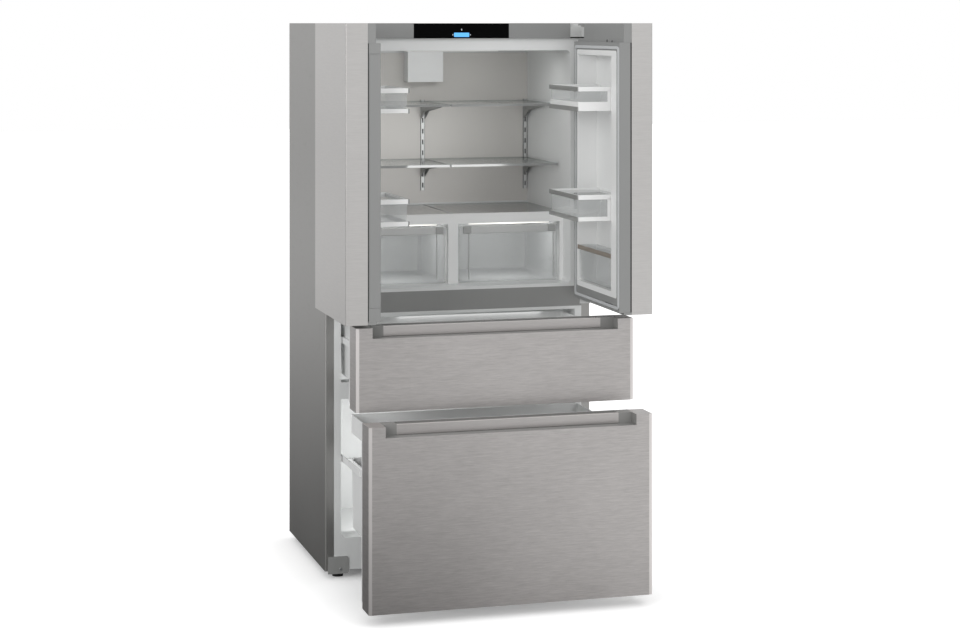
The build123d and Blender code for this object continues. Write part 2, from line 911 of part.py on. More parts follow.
def base_tray():
    """The floor plate, the machine compartment's walls, and ears for the rollers' axle."""
    floor = block(
        (-inner_half, inner_half),
        (cabinet_corner_radius, cabinet_depth - sheet),
        (ground_clearance, ground_clearance + base_sheet),
    )
    wall = block(
        (-inner_half, inner_half),
        (machine_front, machine_front + machine_plate),
        (ground_clearance + base_sheet, machine_top),
    )
    roof = block(
        (-inner_half, inner_half),
        (machine_front, cabinet_depth - sheet),
        (machine_top - machine_plate, machine_top),
    )
    tray = floor + wall + roof
    side = roller_width / 2 + roller_ear_gap
    for x in (roller_x - side - roller_ear, roller_x + side):
        ear = block(
            (x, x + roller_ear),
            (roller_y - roller_radius, roller_y + roller_radius),
            (roller_radius - 2 * roller_axle_radius, ground_clearance),
        )
        tray += ear
        tray += mirrored(ear)
    for sign in (-1, 1):
        wheel_well = block(
            (sign * roller_x - side, sign * roller_x + side),
            (roller_y - roller_radius - roller_ear_gap, roller_y + roller_radius + roller_ear_gap),
            (ground_clearance, ground_clearance + base_sheet),
        )
        tray -= wheel_well
    axle_hole = rod(
        (-half_width, roller_y, roller_radius),
        (half_width, roller_y, roller_radius),
        roller_axle_radius + running_clearance,
    )
    return tray - axle_hole


def rear_rollers():
    """Two rollers on the axle that turns in the base's ears."""
    side = roller_width / 2 + roller_ear_gap + roller_ear
    end = roller_x + side + roller_ear_gap
    rollers = rod((-end, roller_y, roller_radius), (end, roller_y, roller_radius), roller_axle_radius)
    for sign in (-1, 1):
        x = sign * roller_x
        rollers += rod(
            (x - roller_width / 2, roller_y, roller_radius),
            (x + roller_width / 2, roller_y, roller_radius),
            roller_radius,
        )
    return rollers


def inlet_limits(shrunk):
    return (
        (inlet_x - inlet_width / 2 + shrunk, inlet_x + inlet_width / 2 - shrunk),
        (inlet_z - inlet_height / 2 + shrunk, inlet_z + inlet_height / 2 - shrunk),
    )


def rear_cover():
    cover = block(
        (-inner_half, inner_half),
        (cabinet_depth - sheet, cabinet_depth),
        (ground_clearance + base_sheet, machine_top),
    )
    middle = (louvre_columns - 1) / 2
    x_inlet, z_inlet = inlet_limits(0)
    for column in range(louvre_columns):
        x = (column - middle) * louvre_column_pitch
        for row in range(louvre_rows):
            z = machine_top - (row + 1.5) * louvre_pitch
            cover -= block(
                (x - louvre_length / 2, x + louvre_length / 2),
                (cabinet_depth - 2 * sheet, cabinet_depth + sheet),
                (z, z + louvre_height),
            )
    return cover - block(x_inlet, (cabinet_depth - 2 * sheet, cabinet_depth + sheet), z_inlet)


def power_inlet():
    """A socket for a mains lead, set into the rear cover, with three pins."""
    x, z = inlet_limits(0)
    y = (cabinet_depth - inlet_depth, cabinet_depth)
    socket = block(x, y, z)
    inner_x, inner_z = inlet_limits(inlet_wall)
    socket -= block(inner_x, (y[0] + inlet_wall, y[1]), inner_z)
    for n in (-1, 0, 1):
        pin_x = inlet_x + n * 3 * inlet_pin
        pin_z = inlet_z - abs(n) * inlet_pin
        socket += block(
            (pin_x - inlet_pin / 4, pin_x + inlet_pin / 4),
            (y[0], y[1] - 2 * inlet_wall),
            (pin_z - inlet_pin / 2, pin_z + inlet_pin / 2),
        )
    return socket


def front_feet():
    pad = rod((foot_x, foot_y, 0), (foot_x, foot_y, foot_height), foot_radius)
    stem = rod((foot_x, foot_y, foot_height), (foot_x, foot_y, ground_clearance), foot_stem_radius)
    return both_sides(pad + stem)


def corner_plates():
    plate = block(
        (corner_plate_inner, corner_plate_outer),
        (-corner_plate_thickness, 0),
        (corner_plate_bottom_z, corner_plate_top_z),
    )
    edges = plate.edges().filter_by(Axis.Y).group_by(Axis.X)[0]
    plate = fillet(edges, corner_plate_radius)
    return both_sides(plate)


# Doors, each drawn shut as the left one

def hinge_slot():
    """The room in the door's top corner in which the hinge's arm stays as the door turns."""
    return block((hinge_slot_x[0] - sheet, hinge_slot_x[1]), (-hinge_slot_front, 0), hinge_slot_z)


def door_solid(inset, back):
    """The whole door with its rounded front edges, drawn in by an inset and cut off at a depth."""
    solid = block(
        (door_x[0] + inset, door_x[1] - inset),
        (inset - door_front, back),
        (door_bottom_z, cabinet_height),
    )
    front_edges = solid.edges().filter_by(Axis.Z).group_by(Axis.Y)[0]
    return fillet(front_edges, door_edge_radius - inset)


def door_skin():
    """A steel sheet bent round the door's front and two edges, with a return on each."""
    z = (door_bottom_z, cabinet_height)
    mouth = block(
        (door_x[0] + door_skin_return, door_x[1] - door_skin_return),
        (door_skin_back - 2 * sheet, door_skin_back + sheet),
        z,
    )
    shell = door_solid(0, door_skin_back) - door_solid(sheet, door_skin_back - sheet)
    return shell - mouth - hinge_slot()


def door_bore(z):
    return rod(
        (pivot_x, pivot_y, z[0]), (pivot_x, pivot_y, z[1]), hinge_pin_radius + running_clearance
    )


def door_frame(side):
    """The grey moulding round the door's inner face, with the two end caps and the pins' bores."""
    cap_x = (door_x[0] + sheet, door_x[1] - sheet)
    cap_y = (sheet - door_front, -door_cap_inner)
    inset = door_frame_inset
    face = block(
        (door_x[0] + inset, door_x[1] - inset),
        (-door_inner - door_frame_depth, -door_inner),
        (door_frame_bottom_z, door_frame_top_z),
    )
    face -= liner_solid((-door_inner - door_frame_depth, 0))
    lid = block(cap_x, cap_y, (cabinet_height - door_cap, cabinet_height))
    wall = block(
        cap_x, (-door_cap_inner - door_cap_wall, -door_cap_inner), (door_frame_top_z, cabinet_height)
    )
    end = block(
        (cap_x[1] - door_cap_wall, cap_x[1]),
        (door_skin_back, -door_cap_inner),
        (door_frame_top_z, cabinet_height),
    )
    floor = block(cap_x, cap_y, (door_bottom_z, door_bottom_z + door_cap))
    upper_z = (hinge_slot_z[0] - hinge_block, hinge_slot_z[0])
    lower_z = (door_bottom_z, door_bottom_z + hinge_block)
    block_x = (cap_x[0], hinge_slot_x[1])
    block_y = (-hinge_slot_front, -door_cap_inner)
    upper_block = block(block_x, block_y, upper_z)
    lower_block = block(block_x, block_y, lower_z)
    caps = lid + wall + end + floor + upper_block + lower_block
    frame = face + (caps & door_solid(sheet, -door_cap_inner))
    frame -= hinge_slot()
    frame -= skin_return_room()
    frame -= door_bore((door_bottom_z, lower_z[1]))
    frame -= door_bore(upper_z)
    if side == "left":
        frame = mullion_place(frame)
    return frame


def skin_return_room():
    """Where the steel's two returns lie, so that the moulding keeps clear of them."""
    y = (door_skin_back - sheet, door_skin_back)
    z = (door_bottom_z, cabinet_height)
    at_hinge = block((door_x[0], door_x[0] + door_skin_return), y, z)
    at_free_end = block((door_x[1] - door_skin_return, door_x[1]), y, z)
    return at_hinge + at_free_end


def mullion_place(frame):
    """Opens the left frame's free side for the folded mullion, and adds a lug past each of its ends."""
    low_z = mullion_bottom_z - mullion_end_gap
    high_z = mullion_top_z + mullion_end_gap
    frame -= block((-liner_free_side, 0), (-door_inner - door_frame_depth, 0), (low_z, high_z))
    frame += block(
        (-liner_free_side, door_x[1] - door_frame_inset),
        (door_skin_back, door_skin_back + mullion_web),
        (door_frame_bottom_z, door_frame_top_z),
    )
    for z in ((low_z - mullion_lug_height, low_z), (high_z, high_z + mullion_lug_height)):
        frame += block(
            (mullion_pivot_x - mullion_lug / 2, mullion_pivot_x + mullion_lug / 2),
            (-door_inner - mullion_lug, mullion_pivot_y + mullion_lug / 2),
            z,
        )
        frame -= rod(
            (mullion_pivot_x, mullion_pivot_y, z[0]),
            (mullion_pivot_x, mullion_pivot_y, z[1]),
            mullion_pin_radius + running_clearance,
        )
    return frame


def turning_mullion():
    """The flap that closes the gap between the doors, drawn folded into the left door's edge."""
    x0 = mullion_pivot_x + mullion_offset
    body = rounded_block(
        (x0, x0 + mullion_thickness),
        (mullion_pivot_y - mullion_width, mullion_pivot_y),
        (mullion_bottom_z, mullion_top_z),
        mullion_edge_radius,
        Axis.Z,
    )
    ear = 2 * mullion_pin_radius
    for z0, z1, end in (
        (mullion_bottom_z, mullion_bottom_z + mullion_lug, mullion_bottom_z - mullion_pin_length),
        (mullion_top_z - mullion_lug, mullion_top_z, mullion_top_z + mullion_pin_length),
    ):
        body += block(
            (mullion_pivot_x - ear / 2, x0 + ear),
            (mullion_pivot_y - ear, mullion_pivot_y + ear / 2),
            (z0, z1),
        )
        body += rod(
            (mullion_pivot_x, mullion_pivot_y, (z0 + z1) / 2),
            (mullion_pivot_x, mullion_pivot_y, end),
            mullion_pin_radius,
        )
    return body


def liner_solid(y):
    """The outline of the door's white liner, as a solid between two depths."""
    x = (door_x[0] + liner_hinge_side, -liner_free_side)
    return rounded_block(x, y, (liner_bottom_z, liner_top_z), door_liner_radius, Axis.Y)


def door_liner():
    """The white inner moulding: a deep pocket with a wide border on the free side."""
    body = liner_solid((liner_back, -door_inner))
    body -= rounded_block(
        pocket_x, (-door_inner - pocket_depth, 0), pocket_z, pocket_corner_radius, Axis.Y
    )
    hollow_x = (pocket_x[1] + door_liner_wall, -liner_free_side - door_liner_wall)
    hollow_z = (liner_bottom_z + door_liner_wall, liner_top_z - door_liner_wall)
    inner_radius = door_liner_radius - door_liner_wall
    hollow = rounded_block(
        hollow_x, (liner_back, -door_inner - door_liner_wall), hollow_z, inner_radius, Axis.Y
    )
    return body - hollow


def door_insulation():
    foam = door_solid(sheet, door_skin_back - sheet) & block(
        door_x, (-door_front, 0), (door_bottom_z + door_cap, cabinet_height - door_cap)
    )
    foam -= block(
        (door_x[0] + liner_hinge_side, -liner_free_side),
        (liner_back, 0),
        (liner_bottom_z, liner_top_z),
    )
    room_z = (hinge_slot_z[0] - hinge_block, cabinet_height)
    foam -= block((door_x[0], hinge_slot_x[1]), (-hinge_slot_front, 0), room_z)
    return foam - block(
        (door_x[0], hinge_slot_x[1]), (-hinge_slot_front, 0), (door_bottom_z, door_bottom_z + hinge_block)
    )


def door_gasket(side):
    """The soft seal round the door's inner face, almost touching the cabinet's front."""
    free_side = gasket_free_side_left if side == "left" else gasket_free_side_right
    return ring(
        (door_x[0] + gasket_hinge_side, -free_side),
        (-door_inner, -gasket_gap),
        (gasket_bottom_z, gasket_top_z),
        gasket_width,
    )


def door_bin(bottom_z, height, hinge_side_x, reach):
    """A bin that stands in the door's pocket: its box, a trim on its upper edge and one at its foot."""
    top_z = bottom_z + height
    front = reach - door_inner - bin_trim_thickness
    x = (hinge_side_x, pocket_x[1] - bin_free_gap)
    y = (bin_pocket_gap - door_inner - pocket_depth, front)
    box = open_tray(x, y, (bottom_z, top_z), bin_wall, "+Z")
    trim_y = (front, front + bin_trim_thickness)
    upper_trim = block(x, trim_y, (top_z - bin_trim_height, top_z))
    lower_trim = block(x, trim_y, (bottom_z, bottom_z + bin_trim_height))
    return [box, upper_trim, lower_trim]


def door_bins():
    """Two bins that stand out into the refrigerator, and one that stays within the door's pocket."""
    inside_cabinet_x = bin_side_gap - fridge_half_width
    inside_pocket_x = pocket_x[0] + bin_pocket_gap
    bins = door_bin(upper_bin_z, upper_bin_height, inside_cabinet_x, bin_reach)
    bins += door_bin(middle_bin_z, middle_bin_height, inside_cabinet_x, bin_reach)
    bins += door_bin(lower_bin_z, lower_bin_height, inside_pocket_x, 0)
    return bins


# Freezer drawers, drawn shut

def drawer_profile(inset):
    """The outline of a drawer's front seen from above, bevelled at its two front corners."""
    half = drawer_half_width - inset
    front = inset - door_front
    points = [
        (-half, drawer_back),
        (-half, front + drawer_bevel_depth),
        (-half + drawer_bevel_width, front),
        (half - drawer_bevel_width, front),
        (half, front + drawer_bevel_depth),
        (half, drawer_back),
    ]
    return make_face(Polyline(*points, close=True))


def drawer_skin(bottom_z, top_z):
    """The steel front with the notch for the grip, and a return at its back that seats the plate."""
    outside = extrude(Pos(0, 0, bottom_z) * drawer_profile(0), top_z - bottom_z)
    inside = extrude(Pos(0, 0, bottom_z + sheet) * drawer_profile(sheet), top_z - bottom_z - 2 * sheet)
    inside -= block(
        (-drawer_half_width, drawer_half_width), (drawer_back - sheet, drawer_back + sheet), (bottom_z, top_z)
    )
    inside += block(
        (plate_seat - drawer_half_width, drawer_half_width - plate_seat),
        (drawer_back - 2 * sheet, drawer_back + sheet),
        (bottom_z + plate_margin + sheet, top_z - plate_margin - sheet),
    )
    notch = block(
        (-grip_notch_half_width, grip_notch_half_width),
        (-door_front - sheet, drawer_back - sheet),
        (top_z - grip_notch_height, top_z + sheet),
    )
    return outside - inside - notch


def drawer_recess(top_z):
    """The dark moulding in the notch: a ledge in front, two end cheeks and the finger trough."""
    bar_front = grip_set_back - door_front
    bar_back = bar_front + grip_thickness
    back = recess_back
    ledge_z = top_z - grip_notch_height
    ledge = block(
        (-grip_notch_half_width, grip_notch_half_width),
        (sheet - door_front, back),
        (ledge_z - recess_wall, ledge_z),
    )
    cheek = block((grip_half_width, grip_notch_half_width), (bar_front, back), (ledge_z, top_z))
    trough = block(
        (-grip_half_width - recess_wall, grip_half_width + recess_wall),
        (bar_back - recess_wall, back),
        (top_z - finger_depth - recess_wall, ledge_z),
    )
    rear_wall = block((-grip_half_width, grip_half_width), (back - recess_wall, back), (ledge_z, top_z))
    slot = block(
        (-grip_half_width, grip_half_width), (bar_back, back - recess_wall), (top_z - finger_depth, top_z)
    )
    return ledge + cheek + mirrored(cheek) + trough + rear_wall - slot


def drawer_grip(top_z):
    """The steel bar across the notch, which the hand pulls."""
    front = grip_set_back - door_front
    bar = block(
        (-grip_half_width, grip_half_width),
        (front, front + grip_thickness),
        (top_z - grip_notch_height, top_z),
    )
    return fillet(bar.edges().filter_by(Axis.X), grip_edge_radius)


def drawer_plate(bottom_z, top_z):
    """The white inner shell of a drawer's front."""
    return open_tray(
        (-plate_half_width, plate_half_width),
        (drawer_back, -plate_front),
        (bottom_z + plate_margin, top_z - plate_margin),
        plate_wall,
        "-Y",
    )


def drawer_gasket(bottom_z, top_z):
    return ring(
        (-drawer_gasket_half_width, drawer_gasket_half_width),
        (-plate_front, -gasket_gap),
        (bottom_z, top_z),
        gasket_width,
    )


def upper_box():
    return open_tray(
        (-box_half_width, box_half_width),
        (-plate_front, box_back),
        upper_box_z,
        box_wall,
        "+Z",
    )


def lower_box():
    """The deep box, drawn in by a step below its waist."""
    y = (-plate_front, box_back)
    low = box_half_width - box_step
    wall = box_wall
    outside = block((-box_half_width, box_half_width), y, (lower_box_step_z, lower_box_top_z))
    outside += block((-low, low), y, (lower_box_bottom_z, lower_box_step_z))
    inside_y = (y[0] + wall, y[1] - wall)
    inside = block(
        (wall - box_half_width, box_half_width - wall), inside_y, (lower_box_step_z + wall, lower_box_top_z)
    )
    inside += block((wall - low, low - wall), inside_y, (lower_box_bottom_z + wall, lower_box_step_z + wall))
    return outside - inside


def lower_tray():
    """A shallow tray over the deep box, on four legs that stand on the box's rim."""
    tray = open_tray(
        (-tray_half_width, tray_half_width),
        (-plate_front, box_back),
        (tray_bottom_z, tray_top_z),
        box_wall,
        "+Z",
    )
    leg_x = (box_half_width - 2 * box_wall, box_half_width)
    leg_z = (lower_box_top_z, tray_bottom_z + box_wall)
    for start in (tray_front_leg_y, tray_rear_leg_y):
        leg = block(leg_x, (start, start + tray_leg), leg_z)
        tray += leg
        tray += mirrored(leg)
    return tray


def runner_bar(outer_x, thickness, z, start, length):
    return block((outer_x - thickness, outer_x), (start, start + length), (z, z + runner_height))


def runner_fixed_bars():
    bars = []
    for z in (upper_runner_z, lower_runner_z):
        bars += both_sides(runner_bar(freezer_half_width, runner_fixed, z, runner_start, runner_length))
    return bars


def runner_middle_bars(z):
    return both_sides(runner_bar(middle_outer, runner_middle, z, runner_start, runner_length))


def runner_moving_bars(z):
    start = -plate_front
    length = runner_start + runner_length + plate_front
    return both_sides(runner_bar(moving_outer, runner_moving, z, start, length))


def pulled(shape, distance):
    """Brings a shut drawer's pieces forward to their place at rest."""
    pieces = shape if isinstance(shape, list) else [shape]
    return [Pos(0, -distance, 0) * piece for piece in pieces]


def cabinet_nodes():
    return {
        "cabinet_shell": cabinet_shell(),
        "rear_panels": [back_panel(), rear_cover()],
        "cabinet_insulation": cabinet_insulation(),
        "fridge_liner": fridge_liner(),
        "freezer_liner": freezer_liner(),
        "front_fascias": [fascia(), divider_front()],
        "display_panel": display_panel(),
        "door_hinges": both_sides(top_hinge()) + both_sides(bottom_hinge()),
        "rear_wall_panel": rear_wall_panel(),
        "shelf_supports": shelf_tracks() + shelf_brackets(),
        "shelf_glass": shelf_glass_plates(),
        "shelf_trims": shelf_trims(),
        "filter_housing": filter_housing(),
        "crisper_frame": crisper_frame(),
        "crisper_covers": crisper_covers(),
        "light_covers": light_covers(),
        "evaporator": evaporator(),
        "evaporator_cover": evaporator_cover(),
        "fan_motor": fan_motor(),
        "fan_rotor": fan_rotor(),
        "compressor": compressor(),
        "condenser": condenser(),
        "base_tray": base_tray(),
        "rear_rollers": rear_rollers(),
        "power_inlet": power_inlet(),
        "front_feet": front_feet(),
        "corner_plates": corner_plates(),
        "runner_fixed_members": runner_fixed_bars(),
        "left_crisper": mirrored(crisper_box()),
        "right_crisper": crisper_box(),
    }


def door_nodes(side):
    pieces = {
        "skin": door_skin(),
        "insulation": door_insulation(),
        "frame": door_frame(side),
        "liner": door_liner(),
        "gasket": door_gasket(side),
        "bins": door_bins(),
    }
    nodes = {}
    for name, shape in pieces.items():
        group = shape if isinstance(shape, list) else [shape]
        nodes[side + "_door_" + name] = [door_at_rest(piece, side) for piece in group]
    return nodes


def drawer_nodes(name, bottom_z, top_z, gasket_z, box, runner_z, distance):
    shut = {
        "skin": drawer_skin(bottom_z, top_z),
        "recess": drawer_recess(top_z),
        "grip": drawer_grip(top_z),
        "plate": drawer_plate(bottom_z, top_z),
        "gasket": drawer_gasket(*gasket_z),
        "box": box,
        "rails": runner_moving_bars(runner_z),
    }
    nodes = {name + "_drawer_" + key: pulled(shape, distance) for key, shape in shut.items()}
    nodes[name + "_runner_middle"] = pulled(runner_middle_bars(runner_z), distance / 2)
    return nodes


def main():
    os.makedirs("parts", exist_ok=True)
    nodes = cabinet_nodes()
    nodes |= door_nodes("left")
    nodes |= door_nodes("right")
    nodes["turning_mullion"] = door_at_rest(turning_mullion(), "left")
    nodes |= drawer_nodes(
        "upper",
        *upper_drawer_z,
        upper_gasket_z,
        upper_box(),
        upper_runner_z,
        upper_drawer_pulled,
    )
    nodes |= drawer_nodes(
        "lower",
        *lower_drawer_z,
        lower_gasket_z,
        lower_box(),
        lower_runner_z,
        lower_drawer_pulled,
    )
    nodes["lower_drawer_tray"] = pulled(lower_tray(), lower_drawer_pulled)
    for name, shape in nodes.items():
        save(name, shape)
    print(len(nodes), "nodes")


main()
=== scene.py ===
import math

import bmesh
import bpy
from bpy.props import FloatProperty, FloatVectorProperty, IntProperty, PointerProperty
from bpy.types import Operator, Panel, PropertyGroup
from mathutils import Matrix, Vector


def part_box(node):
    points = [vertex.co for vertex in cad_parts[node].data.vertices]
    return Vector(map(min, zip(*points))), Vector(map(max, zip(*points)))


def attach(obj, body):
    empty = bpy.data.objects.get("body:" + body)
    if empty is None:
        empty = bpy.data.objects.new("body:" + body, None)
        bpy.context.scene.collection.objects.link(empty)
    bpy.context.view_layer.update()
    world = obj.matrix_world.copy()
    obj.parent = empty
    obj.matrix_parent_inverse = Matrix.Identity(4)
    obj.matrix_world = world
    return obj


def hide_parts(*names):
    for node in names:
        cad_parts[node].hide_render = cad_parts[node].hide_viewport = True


bl_info = {
    "name": "French-door refrigerator",
    "version": (1, 0, 0),
    "blender": (4, 5, 0),
    "location": "View3D > Sidebar > Refrigerator",
    "description": "Finishes, moulded pieces and studio for a refrigerator with two freezer drawers",
    "category": "Object",
}

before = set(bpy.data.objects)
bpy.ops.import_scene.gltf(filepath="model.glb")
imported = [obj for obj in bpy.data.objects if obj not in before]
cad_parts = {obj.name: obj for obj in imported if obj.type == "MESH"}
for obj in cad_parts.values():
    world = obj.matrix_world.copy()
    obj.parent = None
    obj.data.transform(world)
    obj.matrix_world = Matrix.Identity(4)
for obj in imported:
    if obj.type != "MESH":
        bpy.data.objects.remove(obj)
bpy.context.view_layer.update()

# Doors and crispers by side, each with the way along X that points to the middle
SIDES = {"left": 1, "right": -1}
DRAWERS = ("upper", "lower")


class FridgeSizes(PropertyGroup):
    """Real sizes of the moulded pieces."""

    wall: FloatProperty(
        name="Wall", description="Wall of the clear mouldings", default=0.0026, unit="LENGTH"
    )
    corner: FloatProperty(
        name="Corner", description="Radius of a crisper's upright corners", default=0.014, unit="LENGTH"
    )
    bin_corner: FloatProperty(
        name="Bin corner", description="Radius of a door bin's upright corners", default=0.004, unit="LENGTH"
    )
    foot_radius: FloatProperty(
        name="Lower edge", description="Radius round a moulding's floor", default=0.007, unit="LENGTH"
    )
    draft: FloatProperty(
        name="Draft", description="How far a wall leans in from rim to floor", default=0.003, unit="LENGTH"
    )
    rim: FloatProperty(
        name="Rim", description="Height of the rim and the foot of a door bin", default=0.0145, unit="LENGTH"
    )
    post: FloatProperty(
        name="Post", description="Width of a door bin's post at the door", default=0.078, unit="LENGTH"
    )
    trim: FloatProperty(
        name="Trim", description="Thickness of the trims along a door bin", default=0.003, unit="LENGTH"
    )
    clip: FloatProperty(
        name="Clip", description="Length of a clip at the end of a crisper's grip",
        default=0.026, unit="LENGTH",
    )
    screw: FloatProperty(
        name="Screw", description="Radius of a screw's head", default=0.0045, unit="LENGTH"
    )
    flush: FloatProperty(
        name="Flush", description="Height scale of a countersunk head",
        default=0.00006, precision=5, unit="LENGTH",
    )
    arc_steps: IntProperty(
        name="Arc steps", description="Straight runs in a quarter turn", default=6, min=2
    )


class FridgeColours(PropertyGroup):
    """Base colours of the finishes, as linear values."""

    steel: FloatVectorProperty(
        name="Steel", description="Brushed steel of the drawers",
        subtype="COLOR", default=(0.555, 0.533, 0.523),
    )
    door_steel: FloatVectorProperty(
        name="Door steel", description="Satin steel of the doors",
        subtype="COLOR", default=(0.65, 0.637, 0.625),
    )
    wall_steel: FloatVectorProperty(
        name="Wall steel", description="Sheet on the rear wall", subtype="COLOR", default=(0.72, 0.70, 0.672)
    )
    casing: FloatVectorProperty(
        name="Casing", description="Coating of the cabinet", subtype="COLOR", default=(0.40, 0.395, 0.385)
    )
    white: FloatVectorProperty(
        name="White", description="White linings", subtype="COLOR", default=(0.75, 0.76, 0.755)
    )
    bright: FloatVectorProperty(
        name="Bright white", description="White mouldings of doors and boxes", subtype="COLOR",
        default=(0.88, 0.885, 0.88),
    )
    grey: FloatVectorProperty(
        name="Grey", description="Grey mouldings of the doors", subtype="COLOR", default=(0.28, 0.283, 0.28)
    )
    divider: FloatVectorProperty(
        name="Divider", description="Strip between compartments",
        subtype="COLOR", default=(0.29, 0.292, 0.286),
    )
    dark: FloatVectorProperty(
        name="Dark", description="Grip recesses", subtype="COLOR", default=(0.25, 0.248, 0.241)
    )
    black: FloatVectorProperty(
        name="Black", description="Black mouldings", subtype="COLOR", default=(0.015, 0.015, 0.016)
    )
    clear: FloatVectorProperty(
        name="Clear", description="Clear mouldings", subtype="COLOR", default=(0.76, 0.78, 0.78)
    )
    smoke: FloatVectorProperty(
        name="Smoke", description="Tinted rim of the low door bin",
        subtype="COLOR", default=(0.30, 0.25, 0.20),
    )
    silver: FloatVectorProperty(
        name="Silver", description="Trims, tracks and grips", subtype="COLOR", default=(0.46, 0.465, 0.46)
    )
    foam: FloatVectorProperty(
        name="Foam", description="Rigid foam", subtype="COLOR", default=(0.80, 0.68, 0.40)
    )
    zinc: FloatVectorProperty(
        name="Zinc", description="Zinc plating", subtype="COLOR", default=(0.50, 0.51, 0.52)
    )
    glow: FloatVectorProperty(
        name="Glow", description="Light of the lamps", subtype="COLOR", default=(1.0, 0.97, 0.88)
    )


class FridgeStudio(PropertyGroup):
    """Camera and light."""

    camera_place: FloatVectorProperty(
        name="Camera place", description="Where the camera stands", subtype="TRANSLATION",
        default=(-1.9454, -7.001, 1.81),
    )
    camera_turn: FloatProperty(
        name="Camera turn", description="Camera's heading from straight ahead", subtype="ANGLE",
        default=math.radians(16.05),
    )
    lens: FloatProperty(name="Lens", description="Focal length in millimetres", default=82.29)
    rise: FloatProperty(
        name="Rise", description="Vertical shift of the lens, as a share of the width", default=-0.3092
    )
    ambient: FloatProperty(name="Ambient", description="Light from all round", default=0.76)
    key: FloatProperty(name="Key", description="Power of the lamp at the front left", default=130.0)
    fill: FloatProperty(name="Fill", description="Power of the lamp at the upper right", default=40.0)
    fridge_lamp: FloatProperty(name="Fridge lamp", description="Power of the ceiling lamp", default=0.6)
    inner_card: FloatProperty(
        name="Inner card", description="Power of the card before the shelves", default=0.8
    )
    crisper_lamp: FloatProperty(
        name="Crisper lamp", description="Power of each lamp over the crispers", default=0.5
    )
    freezer_lamp: FloatProperty(name="Freezer lamp", description="Power of the freezer's lamp", default=0.4)
    upper_lamp: FloatProperty(
        name="Upper lamp", description="Power of the lamp over the upper drawer", default=0.07
    )
    rear_card: FloatProperty(name="Rear card", description="Power of the card behind the boxes", default=0.75)


# Shader expressions

class Wire:
    """An output in a node tree. Arithmetic on it adds Math nodes."""

    def __init__(self, web, socket):
        self.web = web
        self.socket = socket

    def __add__(self, other):
        return self.web.maths("ADD", self, other)

    def __radd__(self, other):
        return self.web.maths("ADD", other, self)

    def __sub__(self, other):
        return self.web.maths("SUBTRACT", self, other)

    def __rsub__(self, other):
        return self.web.maths("SUBTRACT", other, self)

    def __mul__(self, other):
        return self.web.maths("MULTIPLY", self, other)

    def __rmul__(self, other):
        return self.web.maths("MULTIPLY", other, self)

    def __truediv__(self, other):
        return self.web.maths("DIVIDE", self, other)

    def __gt__(self, other):
        return self.web.maths("GREATER_THAN", self, other)

    def __lt__(self, other):
        return self.web.maths("LESS_THAN", self, other)


class Web:
    """The node tree of a material or of the world."""

    def __init__(self, owner):
        owner.use_nodes = True
        self.tree = owner.node_tree
        self.tree.nodes.clear()

    def node(self, kind, settings=None, sockets=None, output=0):
        """Adds a node: its settings first, then the values or wires of its sockets."""
        added = self.tree.nodes.new(kind)
        for name, value in (settings or {}).items():
            if name == "stops":
                self.set_stops(added.color_ramp, value)
            else:
                setattr(added, name, value)
        for name, value in (sockets or {}).items():
            if isinstance(value, Wire):
                self.tree.links.new(value.socket, added.inputs[name])
            else:
                added.inputs[name].default_value = value
        return Wire(self, added.outputs[output]) if added.outputs else added

    @staticmethod
    def set_stops(ramp, stops):
        """Gives a colour ramp its stops, each a place and a grey level or a colour."""
        while len(ramp.elements) < len(stops):
            ramp.elements.new(1.0)
        for element, (place, level) in zip(ramp.elements, stops):
            element.position = place
            element.color = level if isinstance(level, tuple) else (level, level, level, 1)

    def maths(self, operation, *values):
        """A Math node over one or more numbers or wires."""
        return self.node("ShaderNodeMath", {"operation": operation}, dict(enumerate(values)))

    def place(self):
        """Where a point lies on the object, in metres."""
        return self.node("ShaderNodeTexCoord", output="Object")

    def along(self, axis, vector=None):
        """One coordinate of a vector."""
        return self.node("ShaderNodeSeparateXYZ", None, {0: vector or self.place()}, "XYZ".index(axis))

    def facing(self, axis):
        """How far the surface faces along an axis, one way or the other, from 0 to 1."""
        return self.maths("ABSOLUTE", self.along(axis, self.node("ShaderNodeTexCoord", output="Normal")))

    def stretched(self, scale):
        """The place, stretched along each axis."""
        return self.node("ShaderNodeVectorMath", {"operation": "MULTIPLY"}, {0: self.place(), 1: scale})

    def noise(self, scale, detail=3.0, roughness=0.55):
        """Fractal noise from 0 to 1, with its own scale along each axis."""
        sockets = {"Vector": self.stretched(scale), "Scale": 1.0, "Detail": detail, "Roughness": roughness}
        return self.node("ShaderNodeTexNoise", None, sockets)

    def ramp(self, factor, *stops):
        """A colour ramp's colour at a factor."""
        return self.node("ShaderNodeValToRGB", {"stops": stops}, {"Fac": factor})

    def mix(self, factor, first, second):
        """A colour between two colours."""
        return self.node("ShaderNodeMix", {"data_type": "RGBA"}, {0: factor, 6: first, 7: second}, 2)

    def bump(self, height, depth, strength):
        """The normal of a surface raised by a height from 0 to 1, over a depth in metres."""
        sockets = {"Height": height, "Distance": depth, "Strength": strength}
        return self.node("ShaderNodeBump", None, sockets)

    def finish(self, **sockets):
        """The surface itself."""
        names = {name.replace("_", " "): value for name, value in sockets.items()}
        shader = self.node("ShaderNodeBsdfPrincipled", None, names)
        self.node("ShaderNodeOutputMaterial", None, {"Surface": shader})


def tint(colour, factor):
    """A colour's three values made lighter or darker."""
    return tuple(min(1.0, value * factor) for value in colour)


def tone(colour, factor=1.0):
    """A colour made lighter or darker, with full alpha, as a socket takes it."""
    return (*tint(colour, factor), 1.0)


def material(name):
    """A new material and its node tree."""
    made = bpy.data.materials.new(name)
    return made, Web(made)


